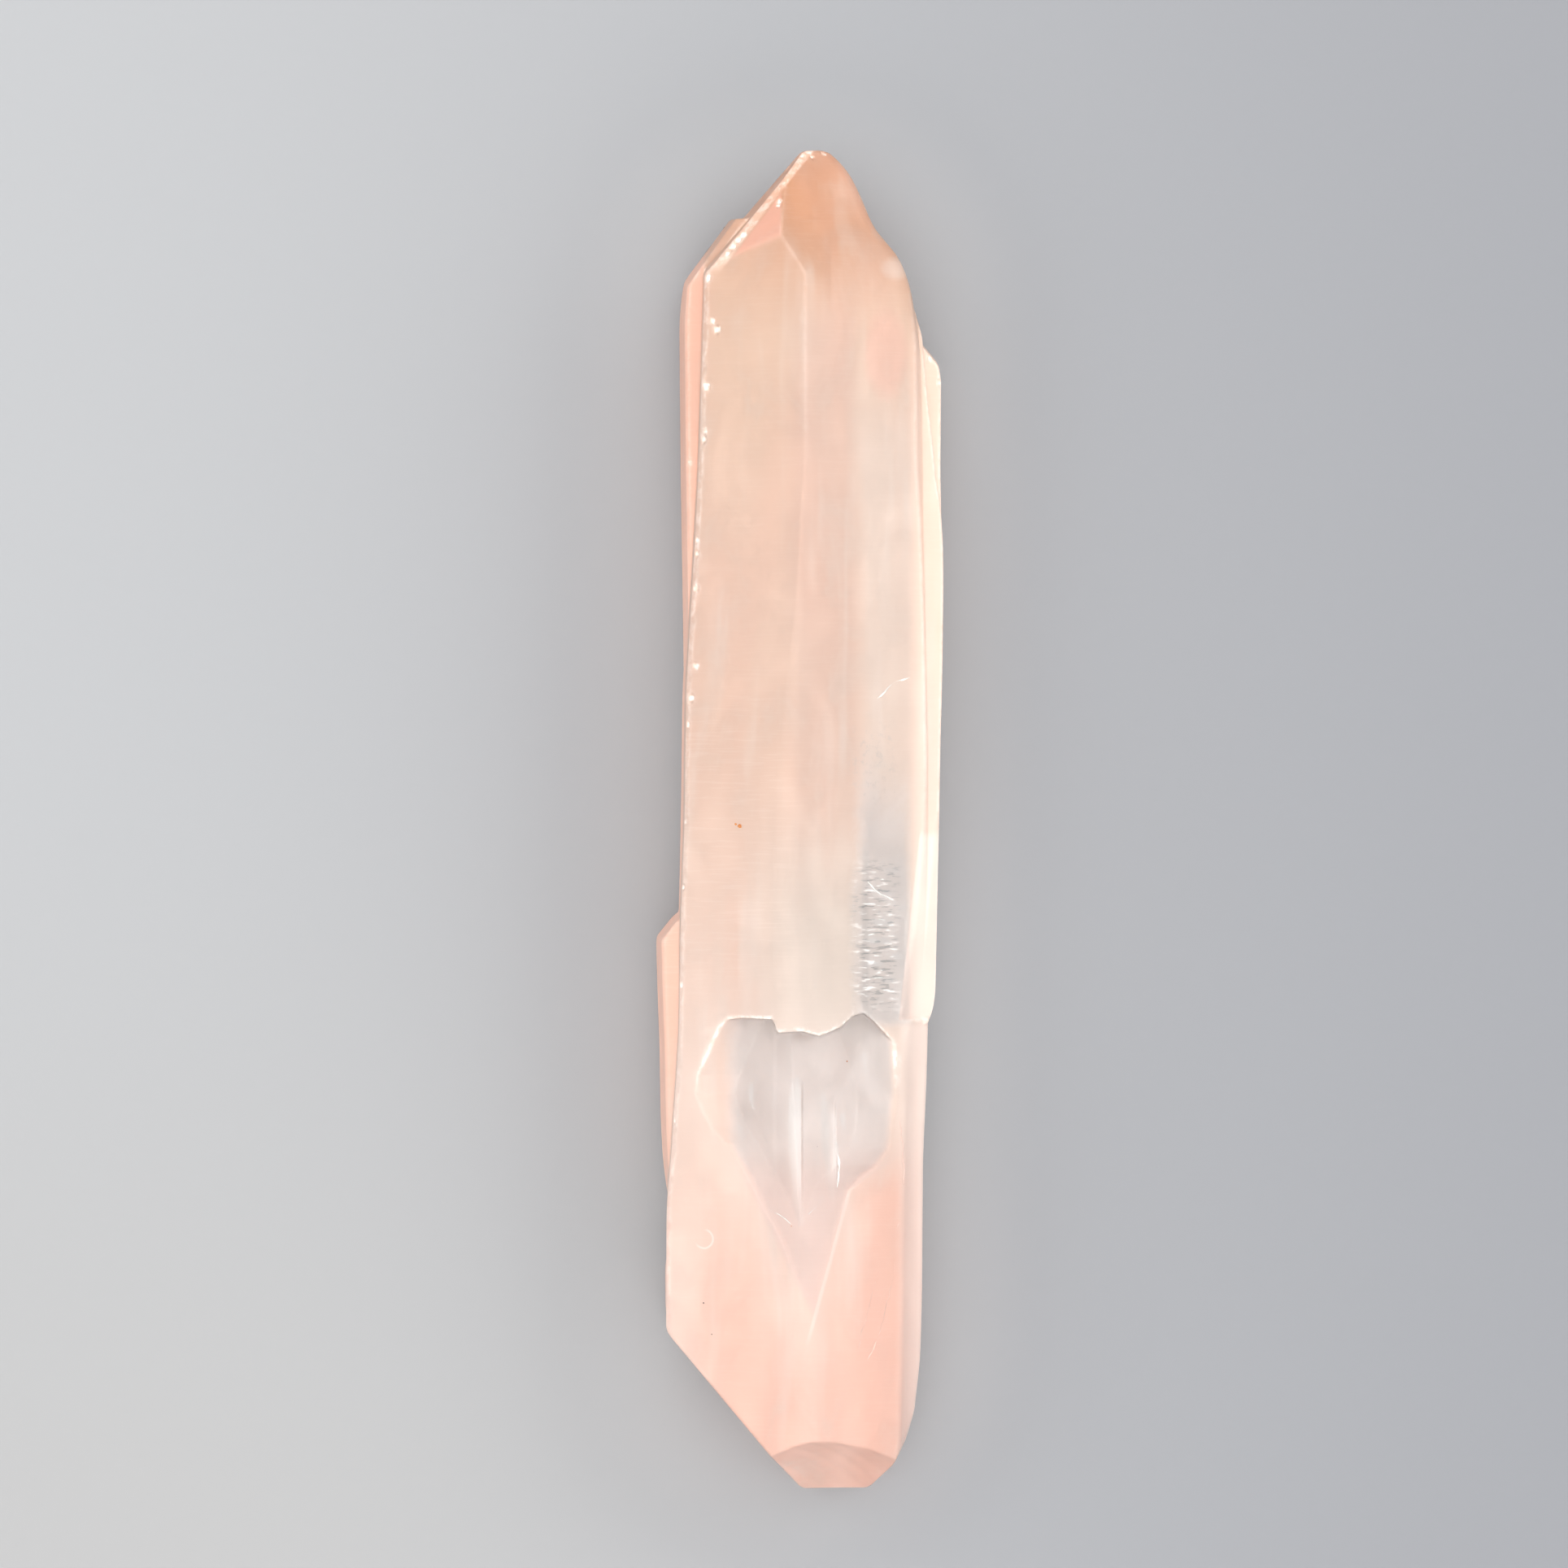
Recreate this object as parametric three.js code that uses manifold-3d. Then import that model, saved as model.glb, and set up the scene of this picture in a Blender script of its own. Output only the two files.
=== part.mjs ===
// Twin quartz crystal: one main point with smaller crystals grown along both of
// its sides, broken off at the base. Millimetres, +Z up. The long axis is Y with
// the tip at +Y, and the group lies on the flat growth face at z = 0.
import * as THREE from "three";
import { ConvexGeometry } from "three/addons/geometries/ConvexGeometry.js";
import { mergeVertices } from "three/addons/utils/BufferGeometryUtils.js";
import Module from "manifold-3d";

const wasm = await Module();
wasm.setup();

// ---- driving dimensions --------------------------------------------------
const TIP_Y = 40.1; // top of the point
const BASE_Y = -40.1; // lowest splinter of the broken base
const RIDGE_Z = 12.8; // height of the front ridge where it leaves the point
const LEFT_SLOPE = 0.505; // fall of the front-left prism face, mm per mm (azimuth 116.8 deg)
const RIGHT_SLOPE = 0.655; // fall of the front-right prism face (azimuth 56.8 deg)
const STEP_PROUD = 0.14; // the outer strip of the front-right face stands this proud of the chord
const SCAR_DEPTH = 1.75; // depth of the flake scar under the ridge at its upper edge
const SCAR_LEAN = 0.35; // how far the upper wall of the scar leans back
const SIDE_LEAN = 0.4; // how far a left side face stands out between its front and back edges
const BACK_EDGE_Z = 2.5; // height of the back edges of the prism

// ---- helpers --------------------------------------------------------------
const unit = (n) => new THREE.Vector3(...n).normalize();

function solid(geometry) {
  const g = geometry.clone();
  g.deleteAttribute("normal");
  g.deleteAttribute("uv");
  const m = mergeVertices(g, 1e-4);
  return new wasm.Manifold(
    new wasm.Mesh({
      numProp: 3,
      vertProperties: new Float32Array(m.attributes.position.array),
      triVerts: new Uint32Array(m.index.array),
    }),
  );
}

// A prism whose section changes from station to station along Y. Each station
// is [y, [[x, z], ...]], the points running clockwise seen from the tip.
function loft(stations) {
  const st = [...stations].sort((a, b) => a[0] - b[0]);
  const n = st[0][1].length;
  const pos = [];
  const at = (i, j) => {
    const [x, z] = st[i][1][(j + n) % n];
    return [x, st[i][0], z];
  };
  const tri = (a, b, c) => pos.push(...a, ...b, ...c);
  for (let i = 0; i < st.length - 1; i++)
    for (let j = 0; j < n; j++) {
      tri(at(i, j), at(i, j + 1), at(i + 1, j + 1));
      tri(at(i, j), at(i + 1, j + 1), at(i + 1, j));
    }
  for (let j = 1; j < n - 1; j++) {
    tri(at(0, 0), at(0, j + 1), at(0, j));
    tri(at(st.length - 1, 0), at(st.length - 1, j), at(st.length - 1, j + 1));
  }
  const g = new THREE.BufferGeometry().setAttribute(
    "position",
    new THREE.Float32BufferAttribute(pos, 3),
  );
  let s = solid(g);
  if (s.volume() < 0) {
    for (let k = 0; k < pos.length; k += 9)
      for (let c = 0; c < 3; c++)
        [pos[k + 3 + c], pos[k + 6 + c]] = [pos[k + 6 + c], pos[k + 3 + c]];
    s = solid(
      new THREE.BufferGeometry().setAttribute(
        "position",
        new THREE.Float32BufferAttribute(pos, 3),
      ),
    );
  }
  return s;
}

// The convex block that lies behind every one of the planes [point, normal].
function behind(planes, size = 70) {
  const all = planes.map(([p, n]) => {
    const u = unit(n);
    return [u, u.dot(new THREE.Vector3(...p))];
  });
  for (const [x, y, z] of [
    [1, 0, 0],
    [-1, 0, 0],
    [0, 1, 0],
    [0, -1, 0],
    [0, 0, 1],
    [0, 0, -1],
  ])
    all.push([new THREE.Vector3(x, y, z), size]);
  const pts = [];
  const cross = new THREE.Vector3();
  for (let i = 0; i < all.length; i++)
    for (let j = i + 1; j < all.length; j++)
      for (let k = j + 1; k < all.length; k++) {
        const [a, da] = all[i],
          [b, db] = all[j],
          [c, dc] = all[k];
        const det = a.dot(cross.crossVectors(b, c));
        if (Math.abs(det) < 1e-6) continue;
        const p = new THREE.Vector3()
          .addScaledVector(new THREE.Vector3().crossVectors(b, c), da)
          .addScaledVector(new THREE.Vector3().crossVectors(c, a), db)
          .addScaledVector(new THREE.Vector3().crossVectors(a, b), dc)
          .divideScalar(det);
        if (all.every(([n, d]) => n.dot(p) <= d + 1e-5))
          if (pts.every((q) => q.distanceTo(p) > 1e-4)) pts.push(p);
      }
  return solid(new ConvexGeometry(pts));
}

// piecewise linear table look-up: rows are [y, value], y falling
const table = (rows) => (y) => {
  if (y >= rows[0][0]) return rows[0][1];
  for (let i = 1; i < rows.length; i++)
    if (y >= rows[i][0]) {
      const [y0, a] = rows[i - 1],
        [y1, b] = rows[i];
      return a + ((b - a) * (y0 - y)) / (y0 - y1);
    }
  return rows[rows.length - 1][1];
};

// ---- main crystal: prism --------------------------------------------------
// x of each long edge down the length of the crystal
const frontLeftX = table([
  [42, -5.45],
  [32.4, -5.62],
  [20.9, -5.98],
  [13.95, -6.37],
  [7.7, -6.74],
  [-0.4, -6.83],
  [-6.2, -7.07],
  [-12.8, -7.16],
  [-20.6, -7.68],
  [-22.9, -7.92],
  [-30.9, -7.95],
  [-42, -8.0],
]);
// how far the left face of the main crystal stands out at its back edge
const mainLean = table([
  [42, 0.4],
  [7.7, 0.3],
  [-0.4, 0.3],
  [-6.2, 0.2],
  [-20.6, 0.12],
  [-24, 0.02],
  [-42, 0.02],
]);
const ridgeX = table([
  [42, 0.37],
  [20.9, 0.36],
  [17.9, 0.12],
  [11.3, -0.07],
  [8.8, -0.34],
  [-0.4, -0.73],
  [-6.2, -0.85],
  [-12.8, -0.5],
  [-20.6, -0.1],
  [-30.9, 0.35],
  [-42, 0.6],
]);
const ridgeZ = table([
  [42, RIDGE_Z],
  [20.9, RIDGE_Z + 0.05],
  [11.3, RIDGE_Z + 0.18],
  [-0.4, RIDGE_Z + 0.35],
  [-12.8, RIDGE_Z + 0.3],
  [-30.9, RIDGE_Z],
  [-42, RIDGE_Z - 0.2],
]);
const stepX = table([
  [42, 3.2],
  [20.9, 3.2],
  [13, 3.44],
  [10.3, 3.59],
  [0.3, 3.78],
  [-6, 3.93],
  [-20.6, 4.0],
  [-42, 4.1],
]);
const frontRightX = table([
  [42, 6.75],
  [28.8, 6.98],
  [20.9, 7.05],
  [18.2, 7.24],
  [13, 7.44],
  [4.2, 7.63],
  [-0.4, 7.54],
  [-6.2, 7.3],
  [-11.9, 6.75],
  [-12.8, 6.45],
  [-20.6, 6.22],
  [-30.9, 6.15],
  [-42, 5.9],
]);
const rightX = table([
  [42, 7.1],
  [29.8, 7.27],
  [18.2, 7.5],
  [4.2, 7.8],
  [-6.2, 7.85],
  [-12.2, 7.78],
  [-16.2, 7.68],
  [-20.1, 7.49],
  [-28.3, 7.44],
  [-32.5, 7.34],
  [-35.4, 6.98],
  [-42, 6.7],
]);
const rightZ = table([
  [42, 7.6],
  [0, 7.0],
  [-12, 6.2],
  [-42, 5.4],
]);

const mainStations = [
  42, 32.4, 28.8, 20.9, 17.9, 13.5, 10.8, 7.7, 4.0, -0.4, -6.2, -9.5, -12.3,
  -12.9, -16.2, -20.6, -26, -30.9, -35.4, -42,
].map((y) => {
  const rx = ridgeX(y),
    rz = ridgeZ(y),
    lx = frontLeftX(y),
    sx = stepX(y),
    fx = frontRightX(y);
  const lz = rz - LEFT_SLOPE * (rx - lx);
  const fz = rz - RIGHT_SLOPE * (fx - rx) + STEP_PROUD * 0.5;
  const sz = rz + ((fz - rz) * (sx - rx)) / (fx - rx) + STEP_PROUD;
  return [
    y,
    [
      [lx, lz],
      [rx, rz],
      [sx, sz],
      [fx, fz],
      [rightX(y), rightZ(y)],
      [rightX(y) - 0.35, 1.7],
      [5.3, 0],
      [-2.6, 0],
      [lx - mainLean(y), BACK_EDGE_Z],
    ],
  ];
});
const prism = loft(mainStations);

// ---- main crystal: faces of the point -------------------------------------
const R_FRONT_RIGHT = [
  [0.37, 32.44, RIDGE_Z],
  [0.466, 0.525, 0.713],
];
const R_FRONT_LEFT = [
  [-1.12, 34.78, 12.05],
  [-0.539, 0.553, 0.636],
];
const R_LEFT = [
  [-2.08, 36.78, 9.59],
  [-0.768, 0.64, 0.11],
];
const R_BACK_LEFT = [
  [0.9, 39.9, 5.2],
  [-0.4, 0.62, -0.68],
];
const R_BACK_RIGHT = [
  [1.6, 39.9, 5.2],
  [0.4, 0.62, -0.68],
];
const TIP_TOP = [
  [1.0, TIP_Y, 6.0],
  [-0.05, 1, 0.05],
];
const pointFaces = [
  R_FRONT_RIGHT,
  R_FRONT_LEFT,
  R_LEFT,
  R_BACK_LEFT,
  R_BACK_RIGHT,
  TIP_TOP,
];
const nose = behind([
  ...pointFaces,
  [
    [3.88, 36.73, 5],
    [0.935, 0.354, -0.03],
  ],
  [
    [3.02, 38.85, 5],
    [0.82, 0.575, -0.03],
  ],
  [
    [2.22, 39.72, 5],
    [0.628, 0.778, -0.03],
  ],
]);
const shoulderHigh = behind([
  ...pointFaces,
  [
    [5.46, 34.12, 5],
    [0.768, 0.64, -0.02],
  ],
  [
    [6.2, 33.15, 5],
    [0.922, 0.388, -0.03],
  ],
]);
const shoulderLow = behind([
  ...pointFaces,
  [
    [6.36, 32.87, 5],
    [0.768, 0.64, -0.02],
  ],
  [
    [6.7, 32.05, 5],
    [0.881, 0.473, -0.04],
  ],
  [
    [7.2, 30.6, 5],
    [0.994, 0.108, -0.02],
  ],
]);

// ---- crystals grown behind the left side ----------------------------------
const sideLeft = (rows, frontZ, backX = -1.5) =>
  loft(
    rows.map(([y, x]) => [
      y,
      [
        [backX, frontZ + LEFT_SLOPE * (backX - x - SIDE_LEAN)],
        [backX, 0],
        [x + 1.3, 0],
        [x, 1.3],
        [x + SIDE_LEAN, frontZ],
      ],
    ]),
  );

const longLeft = sideLeft(
  [
    [38, -7.1],
    [31.8, -7.1],
    [29.85, -7.24],
    [20.9, -7.16],
    [14, -7.05],
    [8.3, -6.97],
    [3.6, -7.07],
    [0.3, -7.15],
    [-5.4, -7.26],
    [-10, -7.3],
  ],
  6.65,
).intersect(
  behind([
    [
      [-7.07, 31.8, 4],
      [-0.821, 0.571, 0.09],
    ],
    [
      [-3.6, 36.1, 4],
      [-0.07, 1, 0.05],
    ],
    [
      [-7.24, 29.9, 4],
      [-0.985, 0.17, 0.05],
    ],
    [
      [-4, 36, 3.2],
      [-0.2, 0.62, -0.6],
    ],
  ]),
);

const lowLeft = sideLeft(
  [
    [-3, -8.7],
    [-7.4, -8.64],
    [-10.1, -8.57],
    [-13.5, -8.44],
    [-18, -8.37],
    [-20.6, -8.24],
    [-22.9, -7.93],
    [-24.5, -7.3],
  ],
  6.9,
).intersect(
  behind([
    [
      [-8.62, -7.4, 4],
      [-0.804, 0.594, 0.08],
    ],
    [
      [-8.0, -6.3, 4],
      [-0.62, 0.78, 0.08],
    ],
    [
      [-8.64, -8.0, 4],
      [-1, 0.03, 0.05],
    ],
    [
      [-7.4, -5.7, 2.6],
      [-0.3, 0.62, -0.6],
    ],
  ]),
);

const stubLeft = sideLeft(
  [
    [-26.2, -7.9],
    [-26.5, -8.1],
    [-30.1, -8.07],
    [-31.1, -7.78],
    [-33, -6.8],
  ],
  4.8,
);

// ---- crystals grown behind the right side ---------------------------------
const sideRight = (rows, frontZ, slope = RIGHT_SLOPE, backX = 3) =>
  loft(
    rows.map(([y, x]) => [
      y,
      [
        [backX, 0],
        [backX, frontZ + slope * (x - backX)],
        [x, frontZ],
        [x - 0.25, 1.1],
        [x - 1.1, 0],
      ],
    ]),
  );

const rightFront = sideRight(
  [
    [33, 7.0],
    [28.8, 7.4],
    [27.5, 7.5],
    [24.6, 7.77],
    [22, 8.08],
    [19.8, 8.28],
    [19.2, 8.46],
    [16.5, 8.64],
    [14, 8.66],
    [9.2, 8.61],
    [3.6, 8.47],
    [-0.2, 8.41],
    [-3, 8.35],
    [-8, 8.27],
    [-10.6, 8.22],
    [-11.9, 7.96],
    [-12.25, 7.6],
  ],
  6.75,
).intersect(
  behind([
    [
      [7.59, 28.8, 4],
      [0.943, 0.334, 0.05],
    ],
    [
      [7.4, 29.2, 2.4],
      [0.5, 0.62, -0.6],
    ],
  ]),
);
const rightBack = sideRight(
  [
    [30, 8.5],
    [26.6, 8.55],
    [20.9, 8.51],
    [16, 8.6],
    [10, 8.3],
  ],
  5.2,
).intersect(
  behind([
    [
      [8.17, 27.6, 4],
      [0.77, 0.64, 0.06],
    ],
    [
      [8.5, 26.9, 4],
      [0.975, 0.22, 0.05],
    ],
    [
      [8, 27.4, 1.6],
      [0.4, 0.62, -0.65],
    ],
  ]),
);

// ---- flake scar on the lower front ----------------------------------------
// Outline of the scar seen from the front, from its lower point upwards.
const scarLeft = table([
  [-11.6, -4.3],
  [-12.6, -4.95],
  [-13.7, -5.45],
  [-15.2, -6.15],
  [-16.4, -6.3],
  [-17.4, -5.85],
  [-18.4, -5.3],
  [-19.3, -4.42],
  [-20.3, -3.85],
  [-21.2, -3.2],
  [-22.5, -2.55],
  [-23.8, -1.78],
  [-25.2, -1.0],
  [-26.7, -0.46],
  [-28, 0.05],
  [-29.2, 0.3],
  [-31.2, 0.32],
]);
const scarRight = table([
  [-11.6, 5.8],
  [-14.1, 5.85],
  [-16.7, 5.95],
  [-19.6, 5.6],
  [-20.6, 4.9],
  [-21.1, 4.2],
  [-22, 3.2],
  [-22.8, 2.8],
  [-24.2, 2.5],
  [-25.4, 2.1],
  [-27.1, 1.63],
  [-28.3, 1.24],
  [-29.9, 0.76],
  [-31.2, 0.62],
]);
// Upper edge of the scar: x along it, y of the edge, read as table([-x, y]).
const scarTop = table([
  [6.4, -13.6],
  [5.2, -12.2],
  [4.3, -11.8],
  [3.3, -11.85],
  [1.6, -11.95],
  [0.8, -12.8],
  [-0.1, -12.75],
  [-1.2, -12.95],
  [-2.4, -12.5],
  [-3.2, -11.85],
  [-3.9, -11.7],
  [-4.4, -12.1],
  [-5.0, -12.85],
  [-5.8, -13.9],
  [-5.85, -14.6],
]);
const faceZ = (x, y) => {
  const rx = ridgeX(y),
    rz = ridgeZ(y);
  if (x <= rx) return rz - LEFT_SLOPE * (rx - x);
  const sx = stepX(y),
    fx = frontRightX(y);
  const fz = rz - RIGHT_SLOPE * (fx - rx) + STEP_PROUD * 0.5;
  const sz = rz + ((fz - rz) * (sx - rx)) / (fx - rx) + STEP_PROUD;
  return x <= sx
    ? rz + ((sz - rz) * (x - rx)) / (sx - rx)
    : sz + ((fz - sz) * (x - sx)) / (fx - sx);
};
const SCAR_LOW_Y = -31.2,
  SCAR_NX = 26,
  SCAR_NY = 34;
function scarPoint(s, t) {
  // t = 0 at the lower point, 1 at the upper edge
  let y = SCAR_LOW_Y + t * (-11.6 - SCAR_LOW_Y);
  let x = 0;
  for (let k = 0; k < 6; k++) {
    const l = scarLeft(y),
      r = scarRight(y);
    x = l + (r - l) * s;
    y = SCAR_LOW_Y + t * (scarTop(-x) - SCAR_LOW_Y);
  }
  return [x, y];
}
function scarFloor(s, t) {
  const [x, y] = scarPoint(s, t);
  const l = scarLeft(y),
    r = scarRight(y);
  const zl = faceZ(l, y),
    zr = faceZ(r, y);
  const chord = zl + (zr - zl) * s;
  const full = faceZ(x, y);
  // between the chord of the two side edges and the faces themselves, deepest
  // just under the upper edge, with slow shell-like waves
  const room = full - chord;
  const cut = Math.min(room, SCAR_DEPTH * (0.35 + 0.65 * t)) * 0.8;
  const edge = Math.min(1, 6 * Math.min(s, 1 - s));
  const rim = 0.06 * Math.max(0, 1 - 12 * Math.min(s, 1 - s, t * 1.5)); // runs out over the faces
  const lip = 0.42 * t * t * edge;
  const wave = 0.05 * edge * Math.sin(9 * Math.hypot(x - 1, (y + 9) * 0.45));
  return full - Math.max(0, cut) - lip + wave * Math.min(1, 3 * t) + rim;
}
const scarBox = new THREE.BoxGeometry(1, 1, 1, SCAR_NX, SCAR_NY, 1);
{
  const p = scarBox.attributes.position;
  for (let i = 0; i < p.count; i++) {
    const s = p.getX(i) + 0.5,
      t = p.getY(i) + 0.5,
      up = p.getZ(i) > 0;
    const [x, y] = scarPoint(s, t);
    if (up) p.setXYZ(i, x, y + (t > 0.999 ? SCAR_LEAN : 0), 15);
    else p.setXYZ(i, x, y, scarFloor(s, t));
  }
}
const scar = solid(scarBox);

// ---- bevel-like break along the lower right edge --------------------------
const rightBreak = behind([
  [
    [7.24, -0.83, 8.2],
    [-0.815, 0.0526, -0.576],
  ],
  [
    [6, -12.0, 8],
    [0.1, -1, 0.05],
  ],
  [
    [7, 0.6, 8],
    [0.25, 1, 0.1],
  ],
]);

// ---- broken base ----------------------------------------------------------
const ball = (x, y, z, r, detail = 9) =>
  solid(
    new THREE.IcosahedronGeometry(r, detail)
      .rotateX(0.3)
      .rotateZ(0.7)
      .translate(x, y, z),
  );
const baseBlock = behind([
  [
    [0, BASE_Y, 5],
    [0, -1, 0],
  ],
  [
    [-6.2, -32.7, 5],
    [-0.76, -0.65, 0.01],
  ],
  [
    [-7.78, -31.3, 5],
    [-0.93, -0.36, 0.02],
  ],
  [
    [6.6, -36.6, 5],
    [0.94, -0.33, 0.05],
  ],
  [
    [5.6, -38.6, 5],
    [0.72, -0.69, 0],
  ],
  [
    [1, -38.6, 11],
    [0.1, -0.78, 0.62],
  ],
]);
const scoops = [
  ball(-19.5, -49.5, 10.5, 20.2),
  ball(3.5, -53.6, 17.5, 17.6),
  ball(14.5, -47.5, 1.5, 12.6),
];

// ---- one grown-together solid ---------------------------------------------
let crystal = prism
  .intersect(nose.add(shoulderHigh).add(shoulderLow))
  .add(longLeft)
  .add(lowLeft)
  .add(stubLeft)
  .add(rightFront)
  .add(rightBack)
  .subtract(rightBreak)
  .subtract(scar)
  .intersect(baseBlock);
for (const b of scoops) crystal = crystal.subtract(b);

function meshOf(name, s, material) {
  const m = s.getMesh(),
    n = m.numProp,
    v = new Float32Array(m.numVert * 3);
  for (let i = 0; i < m.numVert; i++)
    v.set(m.vertProperties.subarray(i * n, i * n + 3), i * 3);
  const g = new THREE.BufferGeometry()
    .setAttribute("position", new THREE.BufferAttribute(v, 3))
    .setIndex(new THREE.BufferAttribute(new Uint32Array(m.triVerts), 1));
  g.computeVertexNormals();
  const mesh = new THREE.Mesh(g, material);
  mesh.name = name;
  return mesh;
}

const group = new THREE.Group();
group.add(
  meshOf(
    "crystal",
    crystal,
    new THREE.MeshStandardMaterial({
      color: 0xf2cbb2,
      roughness: 0.2,
      metalness: 0,
      flatShading: true,
    }),
  ),
);
export default group;
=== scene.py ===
"""Twin quartz crystal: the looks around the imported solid.

Everything below is in metres once it becomes a Blender object; the shape code
works in millimetres in the same frame, with the point at +Y and +Z up.
"""
import math

import bpy
import numpy as np
import openvdb
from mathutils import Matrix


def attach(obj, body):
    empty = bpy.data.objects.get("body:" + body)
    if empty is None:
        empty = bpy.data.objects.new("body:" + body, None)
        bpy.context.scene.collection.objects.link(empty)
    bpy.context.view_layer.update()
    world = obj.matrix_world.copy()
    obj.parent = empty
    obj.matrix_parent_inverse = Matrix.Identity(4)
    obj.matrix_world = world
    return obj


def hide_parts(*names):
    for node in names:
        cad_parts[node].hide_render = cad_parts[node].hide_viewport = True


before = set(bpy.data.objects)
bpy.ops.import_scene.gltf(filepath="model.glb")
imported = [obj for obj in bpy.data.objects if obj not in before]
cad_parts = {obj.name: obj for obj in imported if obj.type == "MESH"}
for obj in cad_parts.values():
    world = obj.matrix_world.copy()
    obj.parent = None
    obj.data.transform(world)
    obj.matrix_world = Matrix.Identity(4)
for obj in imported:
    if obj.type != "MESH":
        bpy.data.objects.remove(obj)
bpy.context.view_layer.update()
MM = 0.001

scene = bpy.context.scene

# --------------------------------------------------------------------------
# camera: straight down on the crystal, its point at the top of the frame
# --------------------------------------------------------------------------
FIELD_MM = 94.05  # what the square frame spans at the height of the crystal's edges
LOOK_X, LOOK_Y = -0.9, 2.1
CAM_HEIGHT_MM = 600.0
cam_data = bpy.data.cameras.new("camera")
cam = bpy.data.objects.new("camera", cam_data)
scene.collection.objects.link(cam)
cam_data.sensor_fit = "HORIZONTAL"
cam_data.sensor_width = 36.0
cam_data.lens = 36.0 * (CAM_HEIGHT_MM - 6.0) / FIELD_MM
cam_data.clip_start = 0.01
cam_data.clip_end = 20
cam.location = (LOOK_X * MM, LOOK_Y * MM, CAM_HEIGHT_MM * MM)
cam.rotation_euler = (0, 0, 0)
scene.camera = cam


# --------------------------------------------------------------------------
# shape: a signed distance field of the grown-together crystals, in mm
# --------------------------------------------------------------------------
def table(rows):
    ys = np.array([r[0] for r in rows], float)
    vs = np.array([r[1] for r in rows], float)
    o = np.argsort(ys)
    return lambda y: np.interp(y, ys[o], vs[o])


LEFT_SLOPE = 0.505
RIGHT_SLOPE = 0.655
RIDGE_Z = 12.8
STEP_PROUD = 0.14
SCAR_DEPTH = 1.75
SIDE_LEAN = 0.4
BACK_EDGE_Z = 2.5

front_left_x = table([(42, -5.45), (32.4, -5.62), (20.9, -5.98), (13.95, -6.37), (7.7, -6.74), (-0.4, -6.83), (-6.2, -7.07), (-12.8, -7.16), (-20.6, -7.68), (-22.9, -7.92), (-30.9, -7.95), (-42, -8.0)])
main_lean = table([(42, 0.4), (7.7, 0.3), (-0.4, 0.3), (-6.2, 0.2), (-20.6, 0.12), (-24, 0.02), (-42, 0.02)])
ridge_x = table([(42, 0.37), (20.9, 0.36), (17.9, 0.12), (11.3, -0.07), (8.8, -0.34), (-0.4, -0.73), (-6.2, -0.85), (-12.8, -0.5), (-20.6, -0.1), (-30.9, 0.35), (-42, 0.6)])
ridge_z = table([(42, RIDGE_Z), (20.9, RIDGE_Z + 0.05), (11.3, RIDGE_Z + 0.18), (-0.4, RIDGE_Z + 0.35), (-12.8, RIDGE_Z + 0.3), (-30.9, RIDGE_Z), (-42, RIDGE_Z - 0.2)])
step_x = table([(42, 3.2), (20.9, 3.2), (13, 3.44), (10.3, 3.59), (0.3, 3.78), (-6, 3.93), (-20.6, 4.0), (-42, 4.1)])
front_right_x = table([(42, 6.75), (28.8, 6.98), (20.9, 7.05), (18.2, 7.24), (13, 7.44), (4.2, 7.63), (-0.4, 7.54), (-6.2, 7.3), (-11.9, 6.75), (-12.8, 6.45), (-20.6, 6.22), (-30.9, 6.15), (-42, 5.9)])
right_x = table([(42, 7.1), (29.8, 7.27), (18.2, 7.5), (4.2, 7.8), (-6.2, 7.85), (-12.2, 7.78), (-16.2, 7.68), (-20.1, 7.49), (-28.3, 7.44), (-32.5, 7.34), (-35.4, 6.98), (-42, 6.7)])
right_z = table([(42, 7.6), (0, 7.0), (-12, 6.2), (-42, 5.4)])

STEP_X, STEP_Y, STEP_Z = 0.115, 0.17, 0.115  # grid pitch, mm
gx = np.arange(-9.3, 9.35, STEP_X, dtype=np.float32)
gy = np.arange(-40.9, 40.95, STEP_Y, dtype=np.float32)
gz = np.arange(-0.46, 13.8, STEP_Z, dtype=np.float32)
X = gx[:, None, None]
Y = gy[None, :, None]
Z = gz[None, None, :]


def along(fn, soft=0.9):
    """A table read along Y, its corners eased over about soft mm."""
    fine = np.arange(-46, 46, 0.1)
    v = fn(fine)
    k = np.exp(-0.5 * (np.arange(-30, 31) * 0.1 / soft) ** 2)
    v = np.convolve(np.pad(v, 30, mode="edge"), k / k.sum(), mode="valid")
    return np.interp(gy, fine, v).astype(np.float32)[None, :, None]


def smax(a, b, k):
    """Largest of two fields, the edge between them worn round over k mm."""
    h = np.maximum(k - np.abs(a - b), 0.0)
    return np.maximum(a, b) + h * h * (0.25 / k)


def smin(a, b, k):
    h = np.maximum(k - np.abs(a - b), 0.0)
    return np.minimum(a, b) - h * h * (0.25 / k)


def plane(p, n):
    n = np.array(n, float)
    n /= np.linalg.norm(n)
    c = float(n @ np.array(p, float))
    return (np.float32(n[0]) * X + np.float32(n[1]) * Y + np.float32(n[2]) * Z) - np.float32(c)


def side(x0, z0, x1, z1, ix=0.0, iz=5.0):
    """Distance to the long face through the edges (x0, z0) and (x1, z1), each a
    number or a value along Y; the side that holds (ix, iz) is inside."""
    dx, dz = x1 - x0, z1 - z0
    l = np.sqrt(dx * dx + dz * dz)
    nx, nz = -dz / l, dx / l
    s = np.sign((ix - x0) * nx + (iz - z0) * nz)
    nx, nz = -nx * s, -nz * s
    return nx * (X - x0) + nz * (Z - z0)


def hash_noise(a, b, seed):
    h = np.sin(a * 127.1 + b * 311.7 + seed * 74.7) * 43758.5453
    return h - np.floor(h)


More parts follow.
